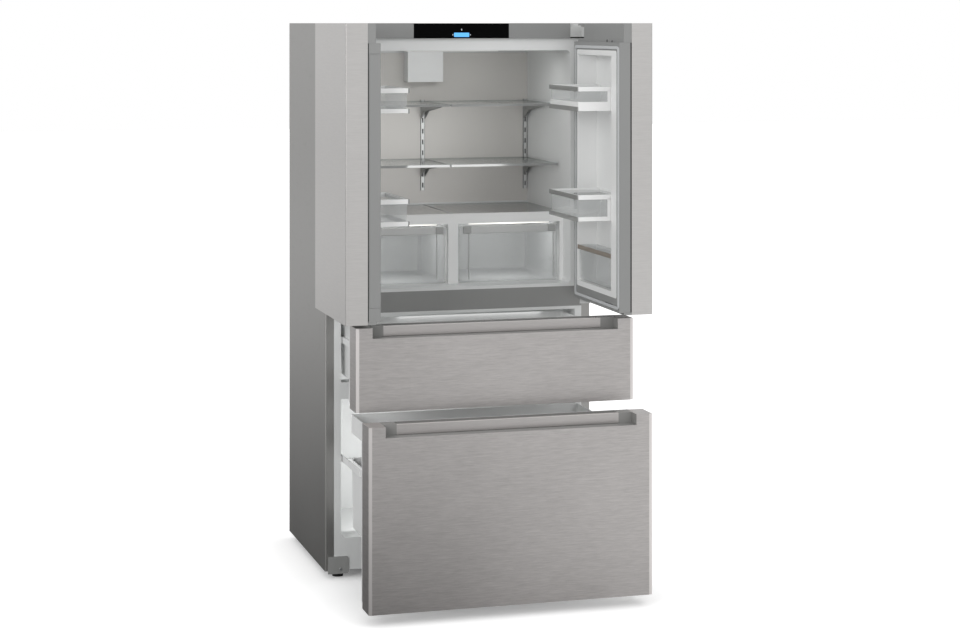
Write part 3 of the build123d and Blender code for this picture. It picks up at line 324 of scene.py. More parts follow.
def brushed_steel(name, colour, roughness=0.34, contrast=0.14, hem_highlight=1.0, fold_shade=1.0):
    """Steel with short level grain and wiped patches, a hem made brighter as a painted highlight, and folds
    made darker as painted shade.
    """
    made, web = material(name)
    fine = web.noise((26.0, 26.0, 380.0), 5.0, 0.75)
    streak = web.noise((10.0, 10.0, 170.0), 3.0, 0.6)
    patch = web.noise((3.0, 3.0, 2.4), 2.0)
    level = 0.60 * fine + 0.25 * streak + 0.15 * patch
    shade = web.ramp(level, (0.36, 0.0), (0.64, 1.0))
    colours = web.mix(shade, tone(colour, 1 - contrast), tone(colour, 1 + 0.7 * contrast))
    across = web.facing("X")
    along = web.facing("Y")
    # Painted highlight: the bevel along the front hem is made lighter, as if it caught the light.
    hem_highlight_mask = (across > 0.22) * (across < 0.34) * (along > 0.90)
    # Painted shade: the bends where the sheet turns are made darker.
    fold_shade_mask = (across > 0.35) * (along > 0.35)
    colours = web.mix(hem_highlight_mask, colours, tone(colour, hem_highlight))
    web.finish(
        Base_Color=web.mix(fold_shade_mask, colours, tone(colour, fold_shade)),
        Metallic=1.0,
        Roughness=roughness - 0.06 + 0.12 * level + 0.05 * patch,
        Normal=web.bump(fine, 0.00010, 0.4),
    )
    return made


def coated_steel(name, colour, roughness, metallic):
    """A satin coating with a faint orange peel and a few handling marks."""
    made, web = material(name)
    peel = web.noise((900.0, 900.0, 900.0), 2.0)
    cloud = web.noise((3.0, 3.0, 3.0), 4.0)
    rub = web.ramp(web.noise((14.0, 14.0, 60.0), 5.0, 0.7), (0.55, 0.0), (0.75, 1.0))
    web.finish(
        Base_Color=web.mix(cloud, tone(colour, 0.95), tone(colour, 1.05)),
        Metallic=metallic,
        Roughness=roughness + 0.06 * cloud + 0.05 * rub,
        Normal=web.bump(peel, 0.00006, 0.35),
    )
    return made


def slotted_track(name, colour, front):
    """Bright metal tracks on the rear wall, with darker arms standing out before a given depth."""
    made, web = material(name)
    cloud = web.noise((30.0, 30.0, 60.0), 4.0)
    peel = web.noise((900.0, 900.0, 900.0), 2.0)
    arm = web.along("Y") < front
    tracks = web.mix(cloud, tone(colour, 0.90), tone(colour, 1.08))
    web.finish(
        Base_Color=web.mix(arm, tracks, tone(colour, 0.42)),
        Metallic=0.35,
        Roughness=0.28 + 0.12 * cloud,
        Normal=web.bump(peel, 0.00006, 0.35),
    )
    return made


def moulded(name, colour, roughness, peel_depth=0.00005, coat=0.0):
    """Injection-moulded plastic: a fine texture, slow colour drift and worn gloss."""
    made, web = material(name)
    fine = web.noise((1400.0, 1400.0, 1400.0), 2.0)
    drift = web.noise((5.0, 5.0, 5.0), 3.0)
    wipe = web.noise((30.0, 30.0, 9.0), 4.0, 0.65)
    web.finish(
        Base_Color=web.mix(drift, tone(colour, 0.965), tone(colour, 1.02)),
        Roughness=roughness - 0.05 + 0.10 * wipe,
        Coat_Weight=coat,
        Normal=web.bump(fine, peel_depth, 0.4),
    )
    return made


def clear_moulding(name, colour, body, rim, ribs=None):
    """Clear plastic, denser where it is seen edge on and there a little lighter as a painted sheen, with flow
    marks, or with ribs across an axis whose crests are painted lighter and troughs darker.
    """
    made, web = material(name)
    edge = web.node("ShaderNodeLayerWeight", None, {"Blend": 0.28}, "Facing")
    flow = web.noise((7.0, 7.0, 26.0), 3.0)
    height = flow
    density = body + (rim - body) * edge + 0.05 * flow
    # Painted sheen: the colour turns a little lighter where the surface is seen edge on.
    shade = web.mix(edge, tone(colour, 0.97), tone(colour, 1.05))
    if ribs:
        axis, pitch = ribs
        wave = web.maths("SINE", web.along(axis) * (2 * math.pi / pitch))
        # Painted light and shade on the ribs: crests lighter, troughs darker.
        rib_painted_light = web.ramp(0.5 + 0.5 * wave, (0.35, 0.0), (0.75, 1.0))
        shade = web.mix(rib_painted_light, tone(colour, 0.45), tone(colour, 1.9))
        height = wave
    web.finish(
        Base_Color=shade,
        Roughness=0.07 + 0.08 * flow,
        Alpha=density,
        Normal=web.bump(height, 0.0004, 0.3),
        **{"Specular IOR Level": 0.6},
    )
    return made


def shelf_glass(name):
    """Toughened glass with a greenish edge and faint smears."""
    made, web = material(name)
    edge = web.node("ShaderNodeLayerWeight", None, {"Blend": 0.35}, "Facing")
    smear = web.noise((9.0, 22.0, 9.0), 5.0, 0.7)
    flat = web.facing("Z")
    web.finish(
        Base_Color=web.mix(flat, (0.22, 0.26, 0.245, 1), (0.36, 0.39, 0.38, 1)),
        Roughness=0.03 + 0.10 * smear,
        Alpha=0.66 - 0.32 * flat + 0.22 * edge * flat,
        **{"Specular IOR Level": 0.7},
    )
    return made


def black_glass(name, colour):
    """Dark glass with faint smears and hardly a reflection."""
    made, web = material(name)
    smear = web.noise((40.0, 40.0, 90.0), 5.0, 0.7)
    web.finish(
        Base_Color=web.mix(smear, tone(colour, 0.8), tone(colour, 1.5)),
        Roughness=0.20 + 0.12 * smear,
        **{"Specular IOR Level": 0.02},
    )
    return made


def soft_rubber(name, colour):
    """Matt rubber with dust on it."""
    made, web = material(name)
    dust = web.noise((160.0, 160.0, 160.0), 5.0, 0.7)
    web.finish(
        Base_Color=web.mix(dust, tone(colour, 0.85), tone(colour, 1.1)),
        Roughness=0.58 + 0.18 * dust,
        Normal=web.bump(dust, 0.0002, 0.4),
    )
    return made


def rigid_foam(name, colour):
    """Poured foam: open cells and slow stains."""
    made, web = material(name)
    cell = web.node("ShaderNodeTexVoronoi", None, {"Vector": web.place(), "Scale": 420.0})
    stain = web.noise((8.0, 8.0, 8.0), 4.0)
    web.finish(
        Base_Color=web.mix(stain, tone(colour, 0.86), tone(colour, 1.05)),
        Roughness=0.86,
        Normal=web.bump(cell, 0.0006, 0.5),
    )
    return made


def plated(name, colour, roughness=0.36):
    """Zinc or bare sheet metal with its crystals and rolling marks."""
    made, web = material(name)
    crystal = web.node("ShaderNodeTexVoronoi", None, {"Vector": web.place(), "Scale": 190.0}, "Color")
    grey = web.along("X", crystal)
    rolled = web.noise((20.0, 4.0, 260.0), 3.0)
    web.finish(
        Base_Color=web.mix(0.6 * grey + 0.4 * rolled, tone(colour, 0.82), tone(colour, 1.1)),
        Metallic=0.95,
        Roughness=roughness + 0.12 * rolled,
        Normal=web.bump(rolled, 0.00008, 0.4),
    )
    return made


def strip_and_divider(name, strip, divider, boundary):
    """The two front mouldings: the darker control strip above a height, and the divider below it."""
    made, web = material(name)
    fine = web.noise((1400.0, 1400.0, 1400.0), 2.0)
    wipe = web.noise((30.0, 30.0, 9.0), 4.0, 0.65)
    upper = web.along("Z") > boundary
    dusty = web.mix(wipe, tone(divider, 0.96), tone(divider, 1.03))
    web.finish(
        Base_Color=web.mix(upper, dusty, tone(strip, 0.9)),
        Roughness=0.42 + 0.10 * wipe,
        Normal=web.bump(fine, 0.00007, 0.4),
    )
    return made


def lamp_lens(name, colour, strength, boundary):
    """Milky lenses: those below a height glow at their middles, and the one above it hardly does."""
    made, web = material(name)
    ripple = web.noise((240.0, 60.0, 60.0), 2.0)
    ceiling = web.along("Z") > boundary
    lens_middle = 0.19
    lens_reach = 0.20
    from_middle = web.maths("ABSOLUTE", web.maths("ABSOLUTE", web.along("X")) - lens_middle)
    fading = web.ramp(from_middle * (1 / lens_reach), (0.15, tone(colour)), (0.9, tone(colour, 0.12)))
    light = web.mix(ceiling, fading, tone(colour, 0.08))
    web.finish(
        Base_Color=tone((0.92, 0.93, 0.92)),
        Roughness=0.35 + 0.1 * ripple,
        **{"Emission Color": light, "Emission Strength": strength},
    )
    return made


def display_mark(name, colour, strength):
    """A lit mark made of fine dots."""
    made, web = material(name)
    dots = web.noise((2600.0, 2600.0, 2600.0), 1.0)
    web.finish(
        Base_Color=tone(colour, 0.4),
        Roughness=0.3,
        **{"Emission Color": web.mix(dots, tone(colour, 0.9), tone(colour)), "Emission Strength": strength},
    )
    return made


# Meshes

def solids(node):
    """The box of each separate solid of a node, sorted from the lowest up."""
    mesh = bmesh.new()
    mesh.from_mesh(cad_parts[node].data)
    bmesh.ops.remove_doubles(mesh, verts=mesh.verts, dist=1e-6)
    left = set(mesh.verts)
    boxes = []
    while left:
        front = [left.pop()]
        group = list(front)
        while front:
            vertex = front.pop()
            for edge in vertex.link_edges:
                other = edge.other_vert(vertex)
                if other in left:
                    left.remove(other)
                    front.append(other)
                    group.append(other)
        places = [vertex.co for vertex in group]
        low = Vector([min(place[axis] for place in places) for axis in range(3)])
        high = Vector([max(place[axis] for place in places) for axis in range(3)])
        boxes.append((low, high))
    mesh.free()
    return sorted(boxes, key=lambda box: (box[0].z, box[0].x))


def block(x, y, z):
    """The box between two places along each axis, given in either order."""
    return tuple(Vector(corner) for corner in zip(sorted(x), sorted(y), sorted(z)))


def rounded_outline(width, depth, radius, steps):
    """Points round a rectangle about the origin whose corners are arcs."""
    radius = max(1e-5, min(radius, width / 2 - 1e-5, depth / 2 - 1e-5))
    points = []
    for quarter, (sign_x, sign_y) in enumerate(((1, 1), (-1, 1), (-1, -1), (1, -1))):
        centre_x = sign_x * (width / 2 - radius)
        centre_y = sign_y * (depth / 2 - radius)
        for step in range(steps + 1):
            angle = math.pi / 2 * (quarter + step / steps)
            points.append((centre_x + radius * math.cos(angle), centre_y + radius * math.sin(angle)))
    return points


def loft(name, loops, ring=False):
    """A closed mesh over loops of equally many points: capped at both ends, or joined in a ring."""
    count = len(loops[0])
    vertices = [tuple(point) for loop in loops for point in loop]
    faces = []
    pairs = len(loops) if ring else len(loops) - 1
    for row in range(pairs):
        here, there = row * count, (row + 1) % len(loops) * count
        for column in range(count):
            after = (column + 1) % count
            faces.append((here + column, here + after, there + after, there + column))
    if not ring:
        faces.append(tuple(reversed(range(count))))
        faces.append(tuple(range(len(vertices) - count, len(vertices))))
    mesh = bpy.data.meshes.new(name)
    mesh.from_pydata(vertices, [], faces)
    mesh.validate()
    mesh.polygons.foreach_set("use_smooth", [True] * len(mesh.polygons))
    mesh.set_sharp_from_angle(angle=math.radians(32))
    mesh.update()
    piece = bpy.data.objects.new(name, mesh)
    bpy.context.scene.collection.objects.link(piece)
    return piece


def profiled(name, box, axis, radius, profile, steps, ring=False):
    """Rounded rectangles inset and raised along an axis by a profile of (inset, height) pairs."""
    low, high = box
    middle = (low + high) / 2
    across = [index for index in range(3) if index != axis]
    loops = []
    for inset, height in profile:
        width = high[across[0]] - low[across[0]] - 2 * inset
        depth = high[across[1]] - low[across[1]] - 2 * inset
        loop = []
        for u, v in rounded_outline(width, depth, max(radius - inset, 0.0006), steps):
            point = Vector(middle)
            point[across[0]] += u
            point[across[1]] += v
            point[axis] = height
            loop.append(point)
        loops.append(loop)
    if axis == 1:
        loops = [list(reversed(loop)) for loop in loops]
    return loft(name, loops, ring)


def dress(piece, body, finish, slot, *replaced):
    """Gives a new piece its finish, its body and the nodes it stands for."""
    piece.data.materials.append(finish)
    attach(piece, body)
    if replaced:
        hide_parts(*replaced)
    return piece


def tray_profile(bottom, top, sizes, wall):
    """Outside, over the rim and down inside: a tray with a rounded floor edge and leaning walls."""
    foot = sizes.foot_radius
    draft = sizes.draft
    steps = sizes.arc_steps
    profile = []
    for step in range(steps + 1):
        angle = math.pi / 2 * step / steps
        profile.append((draft + foot * (1 - math.sin(angle)), bottom + foot * (1 - math.cos(angle))))
    profile.append((0.0, top))
    profile.append((wall, top))
    for step in range(steps, -1, -1):
        angle = math.pi / 2 * step / steps
        inset = wall + draft + foot * (1 - math.sin(angle))
        profile.append((inset, bottom + wall + foot * (1 - math.cos(angle))))
    return profile


def rim_profile(bottom, top, out, inside):
    """The section of a rim that grips a wall's upper edge, rounded at its top."""
    soft = min(0.0015, (top - bottom) / 3)
    return [
        (-out, bottom),
        (-out, top - soft),
        (soft - out, top),
        (inside - soft, top),
        (inside, top - soft),
        (inside, bottom),
    ]


def grouped(boxes):
    """Joins boxes that stand over one another's floor: each bin with its own trims."""
    groups = []
    for low, high in boxes:
        if groups and low.z < groups[-1][1].z:
            whole_low, whole_high = groups[-1]
            groups[-1] = (Vector(map(min, whole_low, low)), Vector(map(max, whole_high, high)))
        else:
            groups.append((low, high))
    return groups


def bar(name, box, radius, steps):
    """A bar along its longest side, whose lengthwise edges are rounded."""
    low, high = box
    axis = max(range(3), key=lambda index: high[index] - low[index])
    start, end = low[axis], high[axis]
    soft = radius / 2
    profile = [(soft, start), (0.0, start + soft), (0.0, end - soft), (soft, end)]
    return profiled(name, box, axis, radius, profile, steps)


def joined(name, pieces):
    """One object from several new ones."""
    mesh = bmesh.new()
    for piece in pieces:
        mesh.from_mesh(piece.data)
        bpy.data.objects.remove(piece)
    whole = bpy.data.meshes.new(name)
    mesh.to_mesh(whole)
    mesh.free()
    added = bpy.data.objects.new(name, whole)
    bpy.context.scene.collection.objects.link(added)
    return added


def screw(name, centre, axis, towards, radius, rise, finish, body):
    """A domed or countersunk screw head with a six-lobed socket, lying on a face."""
    section = ((1.0, 0.0), (1.0, 0.25), (0.82, 0.5), (0.5, 0.62), (0.46, 0.62), (0.40, 0.12), (0.02, 0.10))
    socket = 0.48
    points = 24
    across = [index for index in range(3) if index != axis]
    loops = []
    for share, height in section:
        loop = []
        for step in range(points):
            angle = 2 * math.pi * step / points
            lobe = 1 + 0.14 * math.cos(6 * angle) if share < socket else 1
            point = Vector(centre)
            point[across[0]] += radius * share * lobe * math.cos(angle)
            point[across[1]] += radius * share * lobe * math.sin(angle)
            point[axis] += towards * rise * height
            loop.append(point)
        loops.append(loop)
    return dress(loft(name, loops), body, finish, "zinc_steel")


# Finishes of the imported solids

def node_finishes(colours):
    """The finish of each CAD node, made once for each kind of surface."""
    white = moulded("white_moulding", colours.white, 0.36, coat=0.15)
    bright = moulded("bright_moulding", colours.bright, 0.34, coat=0.15)
    grey = moulded("grey_moulding", colours.grey, 0.44, 0.00008)
    dark = moulded("dark_moulding", colours.dark, 0.40, 0.00008)
    black = moulded("black_moulding", colours.black, 0.40)
    clear = clear_moulding("clear_moulding", colours.clear, 0.12, 0.40)
    cover = clear_moulding("ribbed_cover", tint(colours.silver, 0.38), 0.86, 0.97, ("X", 0.033))
    # The drawers' steel gets a painted highlight on the hem's bevel and faint painted shade at the folds.
    front_steel = brushed_steel("front_steel", colours.steel, contrast=0.17, hem_highlight=1.5, fold_shade=0.95)
    # The doors' steel gets strong painted shade at its folds.
    door_steel = brushed_steel("door_steel", colours.door_steel, contrast=0.06, fold_shade=0.55)
    grip_steel = brushed_steel("grip_steel", tint(colours.steel, 0.95), 0.28, 0.08)
    casing = coated_steel("casing_coat", colours.casing, 0.36, 1.0)
    hinge = coated_steel("hinge_coat", tint(colours.silver, 1.25), 0.40, 0.1)
    track_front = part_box("rear_wall_panel")[0].y - 0.006
    track = slotted_track("track_coat", tint(colours.silver, 1.5), track_front)
    shelf = coated_steel("shelf_coat", tint(colours.silver, 0.75), 0.45, 0.3)
    zinc = plated("zinc_plating", colours.zinc)
    fins = plated("fin_metal", tint(colours.zinc, 1.3), 0.30)
    rubber = soft_rubber("gasket_rubber", tint(colours.grey, 0.55))
    foam = rigid_foam("rigid_foam", colours.foam)
    runner = coated_steel("runner_coat", colours.bright, 0.36, 0.1)
    finishes = {
        "cabinet_shell": casing,
        "rear_panels": coated_steel("rear_coat", colours.casing, 0.5, 0.3),
        "cabinet_insulation": foam,
        "fridge_liner": white,
        "freezer_liner": white,
        "front_fascias": strip_and_divider("front_mouldings", colours.grey, colours.divider, boundary=1.3),
        "display_panel": black_glass("display_glass", tint(colours.black, 0.15)),
        "door_hinges": hinge,
        "rear_wall_panel": coated_steel("wall_steel", colours.wall_steel, 0.50, 0.2),
        "shelf_supports": track,
        "shelf_glass": shelf_glass("shelf_glass"),
        "shelf_trims": shelf,
        "filter_housing": moulded("filter_moulding", tint(colours.bright, 1.12), 0.34, coat=0.15),
        "crisper_frame": moulded("frame_moulding", tint(colours.bright, 1.05), 0.36, coat=0.15),
        "crisper_covers": cover,
        "light_covers": lamp_lens("lamp_lens", colours.glow, strength=1.5, boundary=1.5),
        "evaporator": fins,
        "evaporator_cover": white,
        "fan_motor": black,
        "fan_rotor": dark,
        "compressor": coated_steel("compressor_enamel", colours.black, 0.3, 0.1),
        "condenser": fins,
        "base_tray": zinc,
        "rear_rollers": black,
        "power_inlet": black,
        "front_feet": black,
        "corner_plates": moulded("corner_moulding", tint(colours.divider, 1.1), 0.46),
        "runner_fixed_members": runner,
        "left_crisper": clear,
        "right_crisper": clear,
        "turning_mullion": grey,
    }
    for side in SIDES:
        door = side + "_door_"
        finishes |= {door + "skin": door_steel, door + "insulation": foam, door + "frame": grey}
        finishes |= {door + "liner": bright, door + "gasket": rubber, door + "bins": clear}
    for name in DRAWERS:
        drawer = name + "_drawer_"
        finishes |= {drawer + "skin": front_steel, drawer + "recess": dark, drawer + "grip": grip_steel}
        finishes |= {drawer + "plate": bright, drawer + "gasket": rubber, drawer + "box": bright}
        finishes |= {drawer + "rails": runner, name + "_runner_middle": runner}
    finishes["lower_drawer_tray"] = bright
    return finishes


class FRIDGE_OT_finishes(Operator):
    """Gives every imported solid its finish"""

    bl_idname = "fridge.finishes"
    bl_label = "Finishes"

    def execute(self, context):
        finishes = node_finishes(context.scene.fridge_colours)
        for name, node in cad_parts.items():
            for slot in node.material_slots:
                slot.material = finishes[name]
        return {"FINISHED"}


class FRIDGE_OT_door_bins(Operator):
    """Builds the clear door bins: white rims, feet and posts, and steel trims along their fronts"""

    bl_idname = "fridge.door_bins"
    bl_label = "Door bins"

    def execute(self, context):
        sizes = context.scene.fridge_sizes
        colours = context.scene.fridge_colours
        smoke = clear_moulding("smoked_moulding", colours.smoke, 0.62, 0.85)
        steel = coated_steel("trim_steel", tint(colours.silver, 0.72), 0.32, 0.5)
        tall_foot = 0.030
        for side in SIDES:
            lowest, *others = grouped(solids(side + "_door_bins"))
            self.tray(side, "low_bin", lowest, sizes)
            self.trims(side, "low_bin", lowest, sizes, smoke, ("upper",))
            for number, box in enumerate(others):
                name = f"bin_{number}"
                self.tray(side, name, box, sizes)
                self.trims(side, name, box, sizes, steel, ("upper", "lower"))
                tall = side == "right" and box is others[-1]
                self.white_frame(side, name, box, sizes, tall_foot if tall else sizes.rim)
        return {"FINISHED"}

    def inside(self, side, box, sizes):
        """A bin's room behind the trims along its front."""
        low, high = box
        if side == "left":
            return low.copy(), Vector((high.x - sizes.trim, high.y, high.z))
        return Vector((low.x + sizes.trim, low.y, low.z)), high.copy()

    def tray(self, side, name, box, sizes):
        """The clear tray, which stands inside the white frame."""
        low, high = self.inside(side, box, sizes)
        skin = Vector((0.0022, 0.0022, 0))
        walls = tray_profile(low.z, high.z - 0.001, sizes, sizes.wall)
        steps = sizes.arc_steps
        piece = profiled(f"{side}_{name}_tray", (low + skin, high - skin), 2, sizes.bin_corner, walls, steps)
        clear = bpy.data.materials["clear_moulding"]
        dress(piece, side + "_door", clear, "clear_plastic", side + "_door_bins")

    def trims(self, side, name, box, sizes, finish, places):
        """Strips along the front of the rim and of the foot."""
        low, high = box
        x = (high.x - sizes.trim, high.x) if side == "left" else (low.x, low.x + sizes.trim)
        heights = {"upper": (high.z - sizes.rim, high.z), "lower": (low.z, low.z + sizes.rim)}
        for place in places:
            strip = block(x, (low.y, high.y), heights[place])
            piece = bar(f"{side}_{name}_{place}_trim", strip, 0.001, sizes.arc_steps)
            dress(piece, side + "_door", finish, "clear_plastic")

    def white_frame(self, side, name, box, sizes, foot_height):
        """The white rim, the foot and the two posts where the bin meets the door."""
        room = self.inside(side, box, sizes)
        low, high = room
        steps = sizes.arc_steps
        rim = rim_profile(high.z - sizes.rim, high.z, 0.0, 0.005)
        foot = rim_profile(low.z + 0.001, low.z + foot_height, 0.0, 0.0024)
        rings = [
            profiled(f"{side}_{name}_{place}", room, 2, sizes.bin_corner, profile, steps, True)
            for place, profile in (("rim", rim), ("foot", foot))
        ]
        x = (low.x, low.x + sizes.post) if side == "left" else (high.x - sizes.post, high.x)
        overlap = 0.002
        z = (low.z + foot_height - overlap, high.z - sizes.rim + overlap)
        thickness = 0.0022
        for place, y in (("near", low.y), ("far", high.y - thickness)):
            post = block(x, (y, y + thickness), z)
            rings.append(bar(f"{side}_{name}_{place}_post", post, 0.0005, steps))
        white = bpy.data.materials["bright_moulding"]
        dress(joined(f"{side}_{name}_frame", rings), side + "_door", white, "white_plastic")


class FRIDGE_OT_crispers(Operator):
    """Builds the clear crispers with their grips, the grips' end clips and two ribs on the front"""

    bl_idname = "fridge.crispers"
    bl_label = "Crispers"

    def execute(self, context):
        sizes = context.scene.fridge_sizes
        colours = context.scene.fridge_colours
        grip = clear_moulding("crisper_grip", tint(colours.bright, 0.85), 0.60, 0.85)
        clip = moulded("crisper_clip", tint(colours.silver, 0.9), 0.35, coat=0.2)
        for side, inward in SIDES.items():
            node = side + "_crisper"
            low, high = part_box(node)
            front = low.y + 0.009
            walls = tray_profile(low.z, high.z, sizes, sizes.wall)
            box = block((low.x, high.x), (front, high.y), (low.z, high.z))
            tray = profiled(node + "_tray", box, 2, sizes.corner, walls, sizes.arc_steps)
            dress(tray, node, bpy.data.materials["clear_moulding"], "clear_plastic", node)

            left, right = low.x + 0.014, high.x - 0.014
            y = (low.y, front - 0.0004)
            z = (high.z - 0.025, high.z)
            strips = (
                ("grip", block((left + sizes.clip, right - sizes.clip), y, z), grip),
                ("left_clip", block((left, left + sizes.clip), y, z), clip),
                ("right_clip", block((right - sizes.clip, right), y, z), clip),
            )
            for name, strip, finish in strips:
                self.lying_on_front(f"{node}_{name}", node, strip, 0.002, 0.002, finish, sizes)

            inner, outer = (high.x, low.x) if inward > 0 else (low.x, high.x)
            y = (front - 0.0014, front + 0.0004)
            z = (low.z + 0.012, high.z - 0.027)
            for name, x in (("inner_rib", inner - inward * 0.035), ("outer_rib", outer + inward * 0.020)):
                rib = block((x - 0.0012, x + 0.0012), y, z)
                self.lying_on_front(f"{node}_{name}", node, rib, 0.0008, 0.0004, clip, sizes)
        return {"FINISHED"}

    def lying_on_front(self, name, body, box, radius, soft, finish, sizes):
        """A raised strip on the crisper's front, whose front edges are rounded."""
        near, far = box[0].y, box[1].y
        profile = [(soft, near), (0.0, near + soft), (0.0, far)]
        piece = profiled(name, box, 1, radius, profile, sizes.arc_steps)
        dress(piece, body, finish, "grey_plastic")


class FRIDGE_OT_gaskets(Operator):
    """Builds the door and drawer gaskets with their bellows section"""

    bl_idname = "fridge.gaskets"
    bl_label = "Gaskets"

    def execute(self, context):
        sizes = context.scene.fridge_sizes
        rubber = bpy.data.materials["gasket_rubber"]
        for side, inward in SIDES.items():
            low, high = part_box(side + "_door_gasket")
            self.build(side + "_door", (low, high), 0, inward, sizes, rubber)
        for name in DRAWERS:
            low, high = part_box(name + "_drawer_gasket")
            self.build(name + "_drawer", (low, high), 1, 1, sizes, rubber)
        return {"FINISHED"}

    def build(self, body, box, axis, away, sizes, rubber):
        """A ring whose section stands up from its seat along an axis, one way or the other."""
        low, high = box
        seat, lip = (low[axis], high[axis]) if away > 0 else (high[axis], low[axis])
        deep = lip - seat
        section = (
            (0.0012, 0.0), (0.0020, 0.25), (0.0008, 0.40), (0.0, 0.80), (0.0010, 1.0),
            (0.0085, 1.0), (0.0098, 0.80), (0.0088, 0.40), (0.0076, 0.25), (0.0084, 0.0),
        )
        profile = [(inset, seat + share * deep) for inset, share in section]
        piece = profiled(body + "_seal", box, axis, 0.012, profile, sizes.arc_steps, True)
        dress(piece, body, rubber, "gasket_rubber", body + "_gasket")


class FRIDGE_OT_drawer_boxes(Operator):
    """Builds the freezer drawers' boxes with rounded floor edges and leaning walls"""

    bl_idname = "fridge.drawer_boxes"
    bl_label = "Drawer boxes"

    def execute(self, context):
        sizes = context.scene.fridge_sizes
        white = bpy.data.materials["bright_moulding"]
        for name in DRAWERS:
            node = name + "_drawer_box"
            low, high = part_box(node)
            walls = tray_profile(low.z, high.z, sizes, 0.003)
            piece = profiled(node + "_moulding", (low, high), 2, 0.03, walls, sizes.arc_steps)
            dress(piece, name + "_drawer", white, "clear_plastic", node)
        return {"FINISHED"}


class FRIDGE_OT_display(Operator):
    """Adds the lit field and the touch marks of the display"""

    bl_idname = "fridge.display"
    bl_label = "Display"

    def execute(self, context):
        low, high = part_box("display_panel")
        middle = (low + high) / 2
        front = low.y
        blue = display_mark("display_blue", (0.10, 0.42, 0.90), strength=1.1)
        pale = display_mark("display_pale", (0.55, 0.60, 0.64), strength=0.6)
        level = -0.013
        marks = (
            ("field", 0.0, level, 0.026, 0.0070, blue),
            ("upper_dot", 0.0, 0.004, 0.0016, 0.0030, pale),
            ("left_dot", -0.030, level, 0.0018, 0.0018, pale),
            ("right_dot", 0.030, level, 0.0018, 0.0018, pale),
        )
        profile = [(0.0, front - 0.0002), (0.0, front + 0.0003)]
        for name, x, z, half_width, half_height, finish in marks:
            centre = Vector((middle.x + x, front, middle.z + z))
            half = Vector((half_width, 0.0, half_height))
            piece = profiled("display_" + name, (centre - half, centre + half), 1, 0.0015, profile, 3)
            dress(piece, "cabinet", finish, "display_glass")
        return {"FINISHED"}


